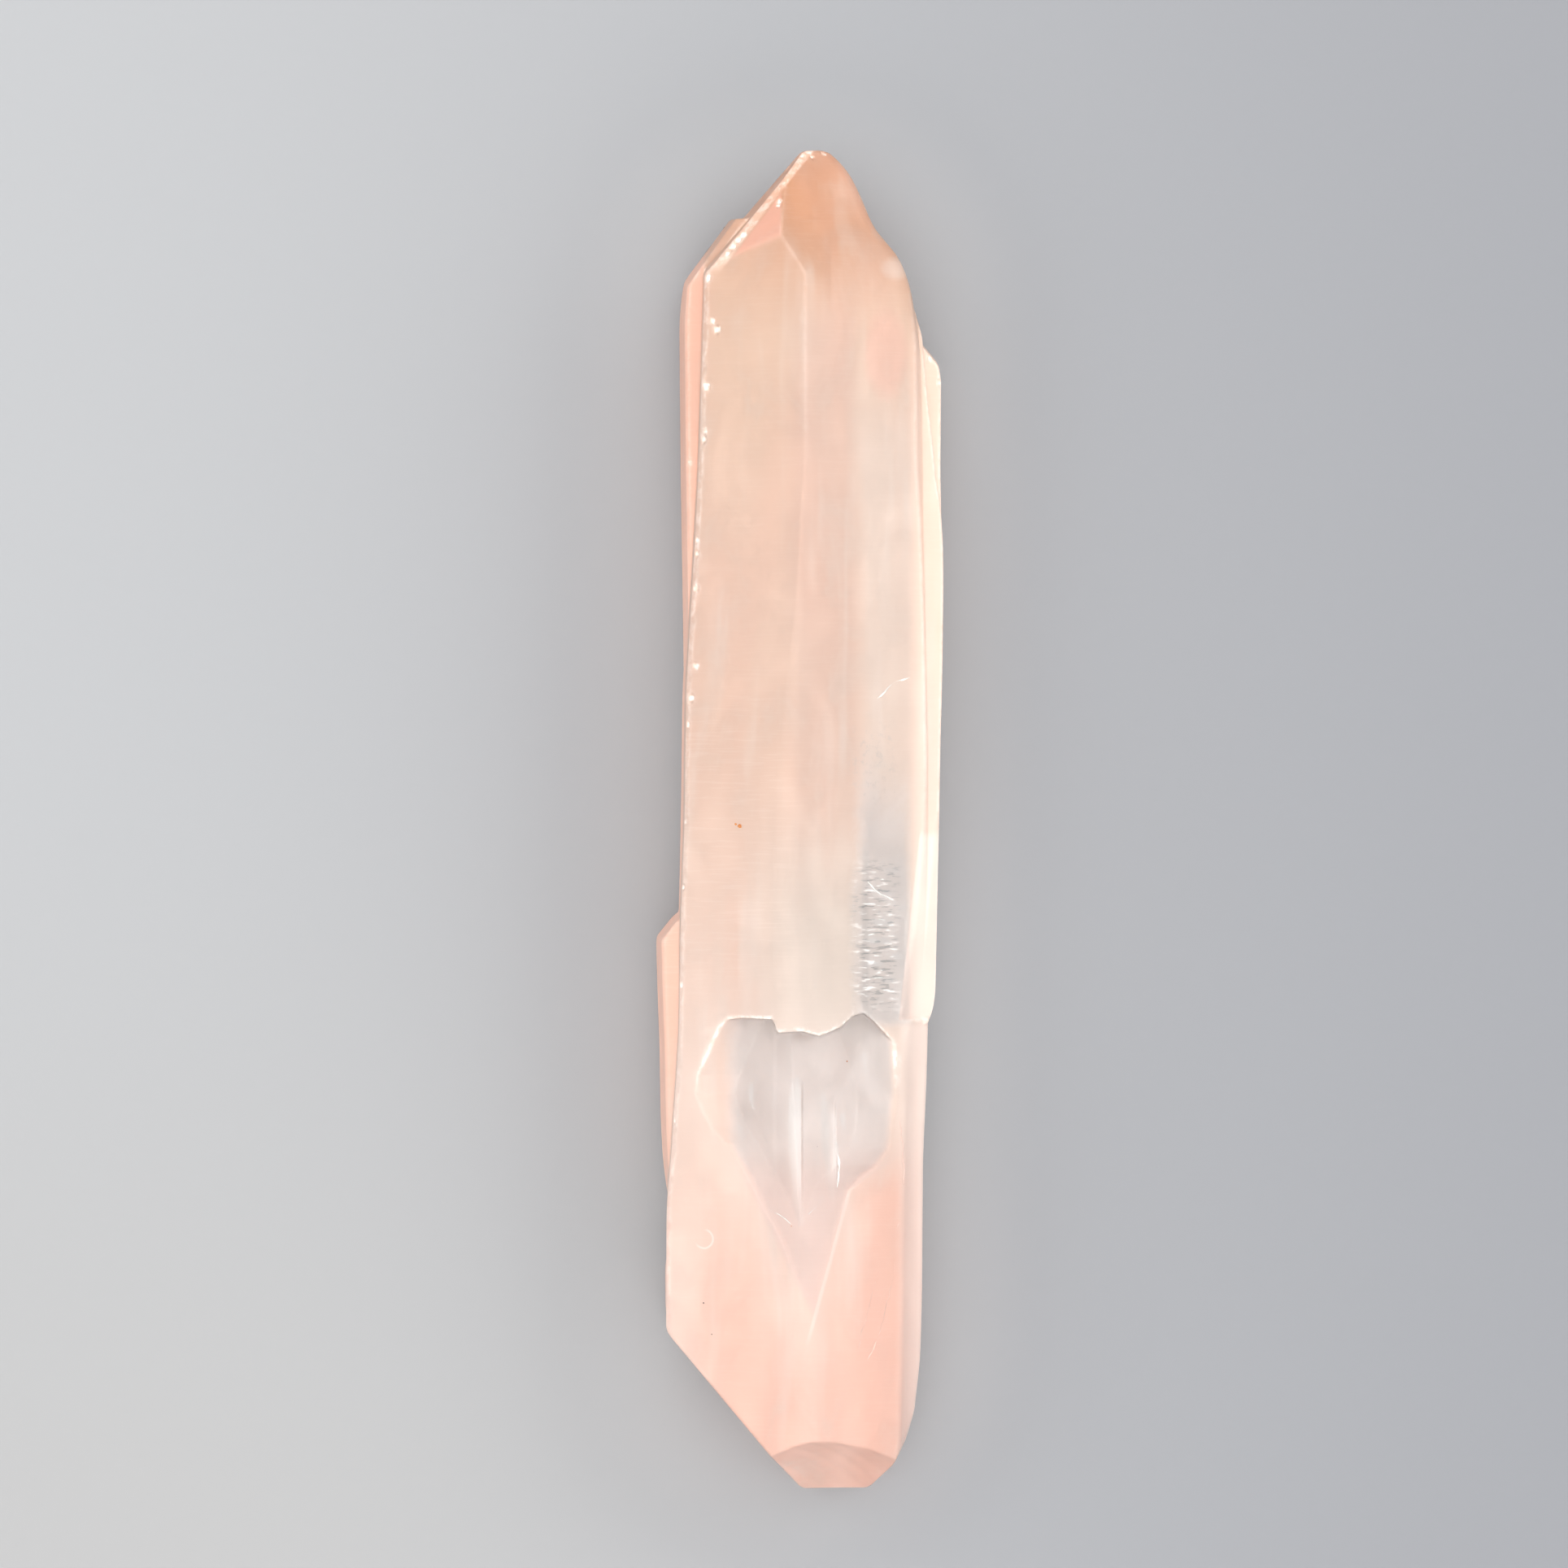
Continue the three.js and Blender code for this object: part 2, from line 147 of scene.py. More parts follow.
def value_noise(u, v, seed):
    """Smooth noise of two coordinates, -1 to 1."""
    iu, iv = np.floor(u), np.floor(v)
    fu, fv = u - iu, v - iv
    fu = fu * fu * (3 - 2 * fu)
    fv = fv * fv * (3 - 2 * fv)
    a = hash_noise(iu, iv, seed)
    b = hash_noise(iu + 1, iv, seed)
    c = hash_noise(iu, iv + 1, seed)
    d = hash_noise(iu + 1, iv + 1, seed)
    return 2 * (a + (b - a) * fu + (c - a) * fv + (a - b - c + d) * fu * fv) - 1


LX, LEAN = along(front_left_x), along(main_lean)
RX, RZ = along(ridge_x), along(ridge_z)
SX, FX = along(step_x), along(front_right_x)
QX, QZ = along(right_x), along(right_z)
LZ = RZ - LEFT_SLOPE * (RX - LX)
FZ = RZ - RIGHT_SLOPE * (FX - RX) + STEP_PROUD * 0.5
SZ = RZ + (FZ - RZ) * (SX - RX) / (FX - RX) + STEP_PROUD

WEAR = 0.10


def main_crystal():
    front_left = side(LX, LZ, RX, RZ)
    right_a = side(RX, RZ, SX, SZ)
    right_b = side(SX, SZ, FX, FZ)
    # the ridge between the main faces is crisp near the point and worn round lower down
    worn_round = (0.10 + 0.75 * np.clip((16 - gy) / 16, 0, 1)).astype(np.float32)[None, :, None]
    body = smax(front_left, smax(right_a, right_b, 0.3), worn_round)
    body = smax(body, side(FX, FZ, QX, QZ), 0.16)
    body = smax(body, side(QX, QZ, QX - 0.35, 1.7), 0.3)
    body = smax(body, side(QX - 0.35, 1.7, 5.3, 0.0, 0.0, 5.0), WEAR)
    left = side(LX, LZ, LX - LEAN, BACK_EDGE_Z)
    # the narrow worn face along the front left edge
    n = 0.5 * (np.array([-0.998, 0.045]) + np.array([-0.451, 0.893]))
    n /= np.linalg.norm(n)
    width = 0.13 + 0.035 * value_noise(gy / 0.9, gy * 0, 3) + 0.03 * value_noise(gy / 0.33, gy * 0, 5)
    edge = n[0] * (X - LX) + n[1] * (Z - LZ) + width.astype(np.float32)[None, :, None]
    body = smax(body, left, 0.08)
    body = smax(body, edge.astype(np.float32), 0.05)
    body = smax(body, side(LX - LEAN, BACK_EDGE_Z, -2.6, 0.0), WEAR)
    return body


POINT_FACES = [
    ((0.37, 32.44, RIDGE_Z), (0.466, 0.525, 0.713)),
    ((-1.12, 34.78, 12.05), (-0.539, 0.553, 0.636)),
    ((-2.08, 36.78, 9.59), (-0.768, 0.64, 0.11)),
    ((0.9, 39.9, 5.2), (-0.4, 0.62, -0.68)),
    ((1.6, 39.9, 5.2), (0.4, 0.62, -0.68)),
    ((1.0, 40.1, 6.0), (-0.05, 1, 0.05)),
]


def hull(planes, wear=WEAR):
    f = None
    for p, n in planes:
        g = plane(p, n)
        f = g if f is None else smax(f, g, wear)
    return f


def point():
    nose = hull([((3.88, 36.73, 5), (0.935, 0.354, -0.03)), ((3.02, 38.85, 5), (0.82, 0.575, -0.03)), ((2.22, 39.72, 5), (0.628, 0.778, -0.03))], 0.5)
    high = hull([((5.46, 34.12, 5), (0.768, 0.64, -0.02)), ((6.2, 33.15, 5), (0.922, 0.388, -0.03))], 0.3)
    low = hull([((6.36, 32.87, 5), (0.768, 0.64, -0.02)), ((6.7, 32.05, 5), (0.881, 0.473, -0.04)), ((7.2, 30.6, 5), (0.994, 0.108, -0.02))], 0.3)
    right = smin(smin(nose, high, 0.25), low, 0.2)
    faces = hull(POINT_FACES[:3], 0.07)
    faces = smax(faces, hull(POINT_FACES[3:], 0.12), 0.2)
    return smax(faces, right, 0.55)


def side_left(rows, front_z, back_x=-1.5, bevel=0.1):
    x = along(table(rows), 0.5)
    y0, y1 = min(r[0] for r in rows), max(r[0] for r in rows)
    f = side(back_x, front_z + LEFT_SLOPE * (back_x - x - SIDE_LEAN), x + SIDE_LEAN, front_z, 0, 3)
    left = side(x + SIDE_LEAN, front_z, x, 1.3, 0, 3)
    f = smax(f, left, 0.06)
    n = np.array([-0.835, 0.55])
    n /= np.linalg.norm(n)
    f = smax(f, (n[0] * (X - x - SIDE_LEAN) + n[1] * (Z - front_z) + bevel).astype(np.float32), 0.05)
    f = smax(f, side(x, 1.3, x + 1.3, 0.0, 0, 3), WEAR)
    f = np.maximum(f, X - np.float32(back_x))
    f = np.maximum(f, np.float32(y0) - Y)
    return np.maximum(f, Y - np.float32(y1))


def side_right(rows, front_z, slope=RIGHT_SLOPE, back_x=3.0):
    x = along(table(rows), 0.35)
    y0, y1 = min(r[0] for r in rows), max(r[0] for r in rows)
    f = side(back_x, front_z + slope * (x - back_x), x, front_z, 4, 3)
    f = smax(f, side(x, front_z, x - 0.25, 1.1, 4, 3), 0.16)
    f = smax(f, side(x - 0.25, 1.1, x - 1.1, 0.0, 4, 3), WEAR)
    f = np.maximum(f, np.float32(back_x) - X)
    f = np.maximum(f, np.float32(y0) - Y)
    return np.maximum(f, Y - np.float32(y1))


scar_left = table([(-11.6, -4.3), (-12.6, -4.95), (-13.7, -5.45), (-15.2, -6.15), (-16.4, -6.3), (-17.4, -5.85), (-18.4, -5.3), (-19.3, -4.42), (-20.3, -3.85), (-21.2, -3.2), (-22.5, -2.55), (-23.8, -1.78), (-25.2, -1.0), (-26.7, -0.46), (-28, 0.05), (-29.2, 0.3), (-31.2, 0.32)])
scar_right = table([(-11.6, 5.8), (-14.1, 5.85), (-16.7, 5.95), (-19.6, 5.6), (-20.6, 4.9), (-21.1, 4.2), (-22, 3.2), (-22.8, 2.8), (-24.2, 2.5), (-25.4, 2.1), (-27.1, 1.63), (-28.3, 1.24), (-29.9, 0.76), (-31.2, 0.62)])
scar_top = table([(-6.4, -13.6), (-5.3, -12.6), (-4.3, -11.9), (-3.3, -11.85), (-1.55, -11.95), (-1.3, -12.75), (0.1, -12.65), (1.2, -12.95), (2.45, -12.45), (3.2, -11.75), (3.85, -11.6), (4.4, -12.05), (5.0, -12.7), (5.8, -13.5), (5.85, -14.2)])
SCAR_LOW = -31.2


def face_height(x, y):
    rx, rz = ridge_x(y), ridge_z(y)
    sx, fx = step_x(y), front_right_x(y)
    fz = rz - RIGHT_SLOPE * (fx - rx) + STEP_PROUD * 0.5
    sz = rz + (fz - rz) * (sx - rx) / (fx - rx) + STEP_PROUD
    left = rz - LEFT_SLOPE * (rx - x)
    a = rz + (sz - rz) * (x - rx) / (sx - rx)
    b = sz + (fz - sz) * (x - sx) / (fx - sx)
    return np.where(x <= rx, left, np.where(x <= sx, a, b))


def scar_field():
    """Positive where the flake scar has taken the quartz away."""
    x, y = np.meshgrid(gx.astype(float), gy.astype(float), indexing="ij")
    # the upper edge runs across the right side
    top = scar_top(-x) if SCAR_FLIP else scar_top(x)
    l, r = scar_left(y), scar_right(y)
    s = np.clip((x - l) / np.maximum(r - l, 0.05), 0, 1)
    t = np.clip((y - SCAR_LOW) / np.maximum(top - SCAR_LOW, 0.1), 0, 1)
    full = face_height(x, y)
    zl, zr = face_height(l, y), face_height(r, y)
    chord = zl + (zr - zl) * s
    cut = np.minimum(full - chord, SCAR_DEPTH * (0.35 + 0.65 * t)) * 0.8
    edge = np.clip(6 * np.minimum(s, 1 - s), 0, 1)
    edge = edge * edge * (3 - 2 * edge)
    lip = 0.42 * t * t * edge
    # shell-like waves about a point under the upper edge, and feather lines
    rad = np.hypot(x - 1.0, (y + 9.5) * 0.5)
    wave = 0.012 * edge * np.sin(7 * rad) * np.clip(1.6 - 0.16 * rad, 0, 1)
    floor = full - np.maximum(0, cut) - lip + wave * np.minimum(1, 3 * t)
    # two sharp feather ridges on the floor of the scar
    for px, y0, y1, w, h in ((0.12, -24.0, -15.4, 1.15, 0.22), (2.1, -22.6, -16.4, 0.8, 0.16)):
        ramp = np.clip((x - (px - w)) / w, 0, 1)
        ramp = np.where(x <= px, ramp ** 2.2, np.exp(-((x - px) / 0.07) ** 2))
        env = np.clip((y - y0) / 3.5, 0, 1) * np.clip((y1 - y) / 0.8, 0, 1)
        floor = floor - h * ramp * env
    rim = 0.06 * np.clip(1 - 12 * np.minimum(np.minimum(s, 1 - s), t * 1.5), 0, 1)
    floor = (floor + rim).astype(np.float32)
    wall = (top - y).astype(np.float32)
    inside = np.minimum(np.minimum((x - l), (r - x)), (y - SCAR_LOW)).astype(np.float32)
    f = np.minimum(Z - floor[:, :, None], wall[:, :, None] * 0.95 + 0.04 * (Z - floor[:, :, None]))
    return np.minimum(f, inside[:, :, None] + 0.05)


SCAR_FLIP = False


def cut(body, f, wear=0.06):
    """Takes away what lies inside f (negative) from body."""
    return smax(body, -f, wear)


def chip(body, c, r, squash=(1, 1, 1)):
    """A small shell-shaped chip: an ellipsoid of radius r taken out at c."""
    c = np.array(c, float)
    q = np.array(squash, float)
    lo = [int(max(0, (c[i] - r * q[i] - a[0]) / s - 2)) for i, (a, s) in enumerate(((gx, STEP_X), (gy, STEP_Y), (gz, STEP_Z)))]
    hi = [int(min(len(a), (c[i] + r * q[i] - a[0]) / s + 3)) for i, (a, s) in enumerate(((gx, STEP_X), (gy, STEP_Y), (gz, STEP_Z)))]
    if any(h <= l for l, h in zip(lo, hi)):
        return
    sl = tuple(slice(l, h) for l, h in zip(lo, hi))
    d = np.sqrt(((gx[sl[0]][:, None, None] - c[0]) / q[0]) ** 2 + ((gy[sl[1]][None, :, None] - c[1]) / q[1]) ** 2 + ((gz[sl[2]][None, None, :] - c[2]) / q[2]) ** 2)
    body[sl] = np.maximum(body[sl], (r - d).astype(np.float32))


def at(u, v, z=None):
    """A place on the picture, which is 20.5 dots a mm, as x, y and the height of the main faces."""
    x, y = (u - 982.5) / 20.5, (1007.0 - v) / 20.5
    return (x, y, float(face_height(x, y)) if z is None else z)


# small fresh chips along the edges: place on the picture, radius, height above the surface
CHIP_PLACES = [
    (866, 334, 0.34, 0.16), (871, 346, 0.24, 0.1), (876, 398, 0.26, 0.14), (881, 409, 0.32, 0.16), (869, 479, 0.28, 0.14), (867, 532, 0.2, 0.06),
    (865, 543, 0.26, 0.12), (848, 568, 0.22, 0.1), (857, 666, 0.24, 0.1), (857, 682, 0.2, 0.06), (855, 725, 0.3, 0.14), (856, 820, 0.24, 0.12), (850, 859, 0.28, 0.12), (846, 891, 0.2, 0.08),
    (843, 1010, 0.18, 0.06), (840, 1090, 0.2, 0.08), (838, 1210, 0.18, 0.06), (834, 1290, 0.18, 0.07), (829, 1376, 0.2, 0.08),
    (914, 293, 0.3, 0.12), (908, 299, 0.26, 0.1), (901, 307, 0.28, 0.12), (895, 316, 0.2, 0.08), (958, 252, 0.24, 0.1), (957, 258, 0.16, 0.04), (994, 188, 0.22, 0.1), (986, 193, 0.2, 0.08), (999, 194, 0.16, 0.05),
    (1013, 189, 0.2, 0.08), (968, 208, 0.2, 0.08), (1156, 470, 0.2, 0.08), (1145, 440, 0.22, 0.1),]
CHIPS = []


def build_field():
    global SCAR
    # the point's right face melts into the prism, its left faces have crisp edges
    melt = 0.08 + 1.5 * np.clip((X - 0.3) / 1.6, 0, 1) ** 1.5
    body = smax(main_crystal(), point(), melt.astype(np.float32))

    long_left = side_left([(38, -7.1), (31.8, -7.1), (29.85, -7.24), (20.9, -7.16), (14, -7.05), (8.3, -6.97), (3.6, -7.07), (0.3, -7.15), (-5.4, -7.26), (-10, -7.3)], 6.65)
    long_left = smax(long_left, hull([((-7.07, 31.8, 4), (-0.821, 0.571, 0.09)), ((-3.6, 36.1, 4), (-0.07, 1, 0.05)), ((-7.24, 29.9, 4), (-0.985, 0.17, 0.05)), ((-4, 36, 3.2), (-0.2, 0.62, -0.6))], 0.08), 0.08)
    low_left = side_left([(-3, -8.7), (-7.4, -8.64), (-10.1, -8.57), (-13.5, -8.44), (-18, -8.37), (-20.6, -8.24), (-22.9, -7.93), (-24.5, -7.3)], 6.9)
    low_left = smax(low_left, hull([((-8.62, -7.4, 4), (-0.804, 0.594, 0.08)), ((-8.0, -6.3, 4), (-0.62, 0.78, 0.08)), ((-8.64, -8.0, 4), (-1, 0.03, 0.05)), ((-7.4, -5.7, 2.6), (-0.3, 0.62, -0.6))], 0.08), 0.08)
    stub = side_left([(-26.2, -7.9), (-26.5, -8.1), (-30.1, -8.07), (-31.1, -7.78), (-33, -6.8)], 4.8)
    right_front = side_right([(33, 7.0), (28.8, 7.4), (27.5, 7.5), (24.6, 7.77), (22, 8.08), (19.8, 8.28), (19.2, 8.46), (16.5, 8.64), (14, 8.66), (9.2, 8.61), (3.6, 8.47), (-0.2, 8.41), (-3, 8.35), (-8, 8.27), (-10.6, 8.22), (-11.9, 7.96), (-12.25, 7.6)], 6.75)
    right_front = smax(right_front, hull([((7.59, 28.8, 4), (0.943, 0.334, 0.05)), ((7.4, 29.2, 2.4), (0.5, 0.62, -0.6))], 0.1), 0.1)
    right_back = side_right([(30, 8.5), (26.6, 8.55), (20.9, 8.51), (16, 8.6), (10, 8.3)], 5.2)
    right_back = smax(right_back, hull([((8.17, 27.6, 4), (0.77, 0.64, 0.06)), ((8.5, 26.9, 4), (0.975, 0.22, 0.05)), ((8, 27.4, 1.6), (0.4, 0.62, -0.65))], 0.1), 0.1)
    for f in (long_left, low_left, stub, right_front, right_back):
        body = np.minimum(body, f)
    del long_left, low_left, stub, right_front, right_back

    right_break = hull([((7.24, -0.83, 8.2), (-0.815, 0.0526, -0.576)), ((6, -12.0, 8), (0.1, -1, 0.05)), ((7, 0.6, 8), (0.25, 1, 0.1))], 0.05)
    body = cut(body, right_break, 0.08)
    SCAR = scar_field()
    body = np.maximum(body, SCAR)
    for u, v, r, lift in CHIP_PLACES:
        x, y = (u - 982.5) / 20.5, (1007.0 - v) / 20.5
        z = np.arange(13.7, 1.0, -0.04)
        f = trilinear(body, np.stack([np.full_like(z, x), np.full_like(z, y), z], 1))
        if (f < 0).any():
            CHIPS.append(((x, y, float(z[np.argmax(f < 0)]) + lift * 0.8), r * 0.78))
    for i, (c, r) in enumerate(CHIPS):
        chip(body, c, r, ((1, 1.5, 1), (1.3, 0.8, 1), (0.8, 1.1, 1.1))[i % 3])

    base = hull([((0, -40.1, 5), (0, -1, 0)), ((-6.2, -32.7, 5), (-0.76, -0.65, 0.01)), ((-7.78, -31.3, 5), (-0.93, -0.36, 0.02)), ((6.6, -36.6, 5), (0.94, -0.33, 0.05)), ((5.6, -38.6, 5), (0.72, -0.69, 0)), ((1, -38.6, 11), (0.1, -0.78, 0.62))], 0.25)
    body = smax(body, base, 0.15)
    for (cx, cy, cz), r in (((-19.5, -49.5, 10.5), 20.2), ((3.5, -53.6, 17.5), 17.6), ((14.5, -47.5, 1.5), 12.6)):
        d = np.sqrt((X - cx) ** 2 + (Y - cy) ** 2 + (Z - cz) ** 2)
        body = smax(body, (r - d + 0.012 * np.sin(5.5 * (X + 0.6 * Z) + 1.3 * Y)).astype(np.float32), 0.08)
    body = smax(body, -Z, 0.08)
    return body.astype(np.float32)


def trilinear(f, p):
    """Values of field f at the points p, in mm."""
    out = 0
    g = [(p[:, 0] - gx[0]) / STEP_X, (p[:, 1] - gy[0]) / STEP_Y, (p[:, 2] - gz[0]) / STEP_Z]
    i = [np.clip(np.floor(a).astype(int), 0, n - 2) for a, n in zip(g, f.shape)]
    w = [np.clip(a - b, 0, 1) for a, b in zip(g, i)]
    for dx in (0, 1):
        for dy in (0, 1):
            for dz in (0, 1):
                out = out + f[i[0] + dx, i[1] + dy, i[2] + dz] * ((w[0] if dx else 1 - w[0]) * (w[1] if dy else 1 - w[1]) * (w[2] if dz else 1 - w[2]))
    return out


def gradient_at(f, p):
    e = (0.5 * STEP_X, 0.5 * STEP_Y, 0.5 * STEP_Z)
    n = np.stack([trilinear(f, p + np.eye(3)[a] * e[a]) - trilinear(f, p - np.eye(3)[a] * e[a]) for a in range(3)], 1) / (2 * np.array(e))
    return n / np.maximum(np.linalg.norm(n, axis=1, keepdims=True), 1e-9)


TRIANGLES = 165000


def thinned(me, most):
    """The mesh with its flat parts in fewer triangles, at most about that many."""
    me.update()
    me.calc_loop_triangles()
    ob = bpy.data.objects.new("whole", me)
    scene.collection.objects.link(ob)
    m = ob.modifiers.new("thin", "DECIMATE")
    m.ratio = min(1.0, most / len(me.loop_triangles))
    m.use_collapse_triangulate = True
    out = bpy.data.meshes.new_from_object(ob.evaluated_get(bpy.context.evaluated_depsgraph_get()))
    out.name = me.name + "_thin"
    bpy.data.objects.remove(ob)
    return out


def field_mesh(name, f, adaptivity):
    """A closed mesh of f = 0, its vertex normals taken from the field."""
    grid = openvdb.FloatGrid(float(STEP_X * 4))
    grid.copyFromArray(f, tolerance=0.0)
    pts, tris, quads = grid.convertToPolygons(isovalue=0.0, adaptivity=adaptivity)
    p = np.array(pts, np.float64) * [STEP_X, STEP_Y, STEP_Z] + [gx[0], gy[0], gz[0]]
    # one step of Newton's method puts the points on the surface itself
    n = gradient_at(f, p)
    d = trilinear(f, p)
    p = p - n * np.clip(d, -0.05, 0.05)[:, None]
    tris, quads = np.array(tris, np.int64).reshape(-1, 3), np.array(quads, np.int64).reshape(-1, 4)
    v = p
    q = np.concatenate([tris, quads[:, [0, 1, 2]], quads[:, [0, 2, 3]]])
    vol = np.einsum("ij,ij->i", v[q[:, 0]], np.cross(v[q[:, 1]], v[q[:, 2]])).sum() / 6
    if vol < 0:
        tris, quads = tris[:, ::-1], quads[:, ::-1]
    me = bpy.data.meshes.new(name)
    me.from_pydata((v * MM).tolist(), [], tris.tolist() + quads.tolist())
    me.validate()
    me = thinned(me, TRIANGLES)
    me.update()
    v = np.empty(len(me.vertices) * 3)
    me.vertices.foreach_get("co", v)
    v = v.reshape(-1, 3) / MM
    me.shade_smooth()
    n = gradient_at(f, v)
    if len(me.vertices) == len(n):
        me.normals_split_custom_set_from_vertices(n.tolist())
    else:
        print("vertex count changed", len(me.vertices), len(n))
    print(name, "volume mm3", round(abs(vol), 1), "tris", len(me.polygons), "box", v.min(0).round(3), v.max(0).round(3))
    return me
# --------------------------------------------------------------------------
# stage: grey floor, even surround brighter overhead, one soft box
# --------------------------------------------------------------------------
def new_material(name):
    m = bpy.data.materials.new(name)
    m.use_nodes = True
    m.node_tree.nodes.clear()
    return m


def node(tree, kind, **props):
    n = tree.nodes.new(kind)
    for k, v in props.items():
        if k == "inputs":
            for name, value in v.items():
                n.inputs[name].default_value = value
        else:
            setattr(n, k, v)
    return n


class Val:
    """A number in a node tree, with ordinary arithmetic."""

    def __init__(self, tree, socket):
        self.tree, self.socket = tree, socket

    def math(self, op, *others, clamp=False):
        n = node(self.tree, "ShaderNodeMath", operation=op, use_clamp=clamp)
        for i, v in enumerate((self,) + others):
            if isinstance(v, Val):
                self.tree.links.new(v.socket, n.inputs[i])
            else:
                n.inputs[i].default_value = v
        return Val(self.tree, n.outputs[0])

    def __add__(self, o):
        return self.math("ADD", o)

    __radd__ = __add__

    def __sub__(self, o):
        return self.math("SUBTRACT", o)

    def __rsub__(self, o):
        return self.math("MULTIPLY_ADD", -1.0, o)

    def __mul__(self, o):
        return self.math("MULTIPLY", o)

    __rmul__ = __mul__

    def clip(self):
        return self.math("ADD", 0.0, clamp=True)

    def most(self, o):
        return self.math("MAXIMUM", o)

    def least(self, o):
        return self.math("MINIMUM", o)

    def soft(self, lo, hi, a=0.0, b=1.0):
        """Eases from a at lo to b at hi."""
        n = node(self.tree, "ShaderNodeMapRange", interpolation_type="SMOOTHSTEP")
        if lo > hi:
            lo, hi, a, b = hi, lo, b, a
        self.tree.links.new(self.socket, n.inputs["Value"])
        for k, v in (("From Min", lo), ("From Max", hi), ("To Min", a), ("To Max", b)):
            n.inputs[k].default_value = v
        return Val(self.tree, n.outputs["Result"])


def position(tree):
    """Object position in mm: a vector socket and its three numbers."""
    tc = node(tree, "ShaderNodeTexCoord")
    sc = node(tree, "ShaderNodeVectorMath", operation="SCALE")
    sc.inputs["Scale"].default_value = 1000.0
    tree.links.new(tc.outputs["Object"], sc.inputs[0])
    sp = node(tree, "ShaderNodeSeparateXYZ")
    tree.links.new(sc.outputs[0], sp.inputs[0])
    return sc.outputs[0], [Val(tree, o) for o in sp.outputs]


def noise(tree, vec, scale, shift=(0, 0, 0), detail=2.0, rough=0.5, distort=0.0):
    """Noise of about 0 to 1; scale is in waves per mm along X, Y and Z."""
    m = node(tree, "ShaderNodeVectorMath", operation="MULTIPLY_ADD")
    tree.links.new(vec, m.inputs[0])
    m.inputs[1].default_value = scale
    m.inputs[2].default_value = shift
    n = node(tree, "ShaderNodeTexNoise", inputs={"Scale": 1.0, "Detail": detail, "Roughness": rough, "Distortion": distort})
    tree.links.new(m.outputs[0], n.inputs["Vector"])
    return Val(tree, n.outputs["Fac"])


def blend(tree, a, b, fac, kind="MIX"):
    """Colour a to colour b; each is a tuple or a socket."""
    n = node(tree, "ShaderNodeMix", data_type="RGBA", blend_type=kind, clamp_factor=True)
    for sock, v in ((n.inputs[6], a), (n.inputs[7], b)):
        if isinstance(v, tuple):
            sock.default_value = (*v, 1)
        else:
            tree.links.new(v, sock)
    if isinstance(fac, Val):
        tree.links.new(fac.socket, n.inputs[0])
    else:
        n.inputs[0].default_value = fac
    return n.outputs[2]


world = bpy.data.worlds.new("surround")
scene.world = world
world.use_nodes = True
OVERHEAD, HORIZON = 1.95, 1.25
wt = world.node_tree
bg = wt.nodes["Background"]
bg.inputs["Color"].default_value = (1.0, 0.992, 0.98, 1)
wc = node(wt, "ShaderNodeTexCoord")
ws = node(wt, "ShaderNodeSeparateXYZ")
wt.links.new(wc.outputs["Generated"], ws.inputs[0])
wt.links.new(Val(wt, ws.outputs[2]).soft(0.0, 0.9, HORIZON, OVERHEAD).socket, bg.inputs["Strength"])

floor_mesh = bpy.data.meshes.new("floor")
half = 4.0
floor_mesh.from_pydata([(-half, -half, 0), (half, -half, 0), (half, half, 0), (-half, half, 0)], [], [(0, 1, 2, 3)])
floor = bpy.data.objects.new("floor", floor_mesh)
floor.location = (0, 0, -0.00004)
scene.collection.objects.link(floor)
fm = new_material("floor")
t = fm.node_tree
out = node(t, "ShaderNodeOutputMaterial")
_, (fx_, fy_, _) = position(t)
# painted light: the floor is painted lighter at the left and lower left and darker towards the right, as the light
# falls off
across = fx_.soft(-62, 66)
painted_light_low_left = fy_.soft(10, -48) * fx_.soft(20, -40)
tone = blend(t, (0.358, 0.366, 0.380), (0.238, 0.245, 0.264), across)
tone = blend(t, tone, (0.350, 0.352, 0.358), painted_light_low_left)
# painted light: the surface is painted paler around and under the crystal, against the shade the crystal casts on it
past = (fy_.math("ABSOLUTE") - 31.0).most(0.0)
near = (fx_ * fx_ + past * past).math("SQRT")
tone = blend(t, tone, (0.50, 0.505, 0.515), near.soft(15, 8, 0.0, 0.22))
past = (fy_.math("ABSOLUTE") - 26.0).most(0.0)
near = (fx_ * fx_ + past * past).math("SQRT")
tone = blend(t, tone, (0.93, 0.92, 0.91), near.soft(7.3, 4.6))
diff = node(t, "ShaderNodeBsdfPrincipled", inputs={"Roughness": 0.9, "Specular IOR Level": 0.05})
t.links.new(tone, diff.inputs["Base Color"])
t.links.new(diff.outputs["BSDF"], out.inputs["Surface"])
floor_mesh.materials.append(fm)


def soft_box(name, loc, size, power, colour=(1, 1, 1), aim=(0, 0, 0)):
    d = bpy.data.lights.new(name, "AREA")
    d.shape = "RECTANGLE"
    d.size, d.size_y = size
    d.energy = power
    d.color = colour
    o = bpy.data.objects.new(name, d)
    o.location = loc
    scene.collection.objects.link(o)
    v = np.array(aim, float) - np.array(loc, float)
    from mathutils import Vector

    o.rotation_euler = Vector(v).to_track_quat("-Z", "Y").to_euler()
    return o


soft_box("key", (0.62, 0.25, 0.34), (0.4, 0.5), 0.8, (1.0, 0.985, 0.96))

scene.view_settings.view_transform = "Standard"
scene.view_settings.look = "None"
scene.view_settings.exposure = 0.0
scene.view_settings.gamma = 1.0


# --------------------------------------------------------------------------
# the quartz
# --------------------------------------------------------------------------
field = build_field()
skin = field_mesh("crystal_skin", field, 0.0)
crystal = bpy.data.objects.new("crystal_skin", skin)
scene.collection.objects.link(crystal)
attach(crystal, "root")
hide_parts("crystal")


def point_values(me, name, values):
    a = me.attributes.new(name, "FLOAT", "POINT")
    a.data.foreach_set("value", np.asarray(values, np.float32))


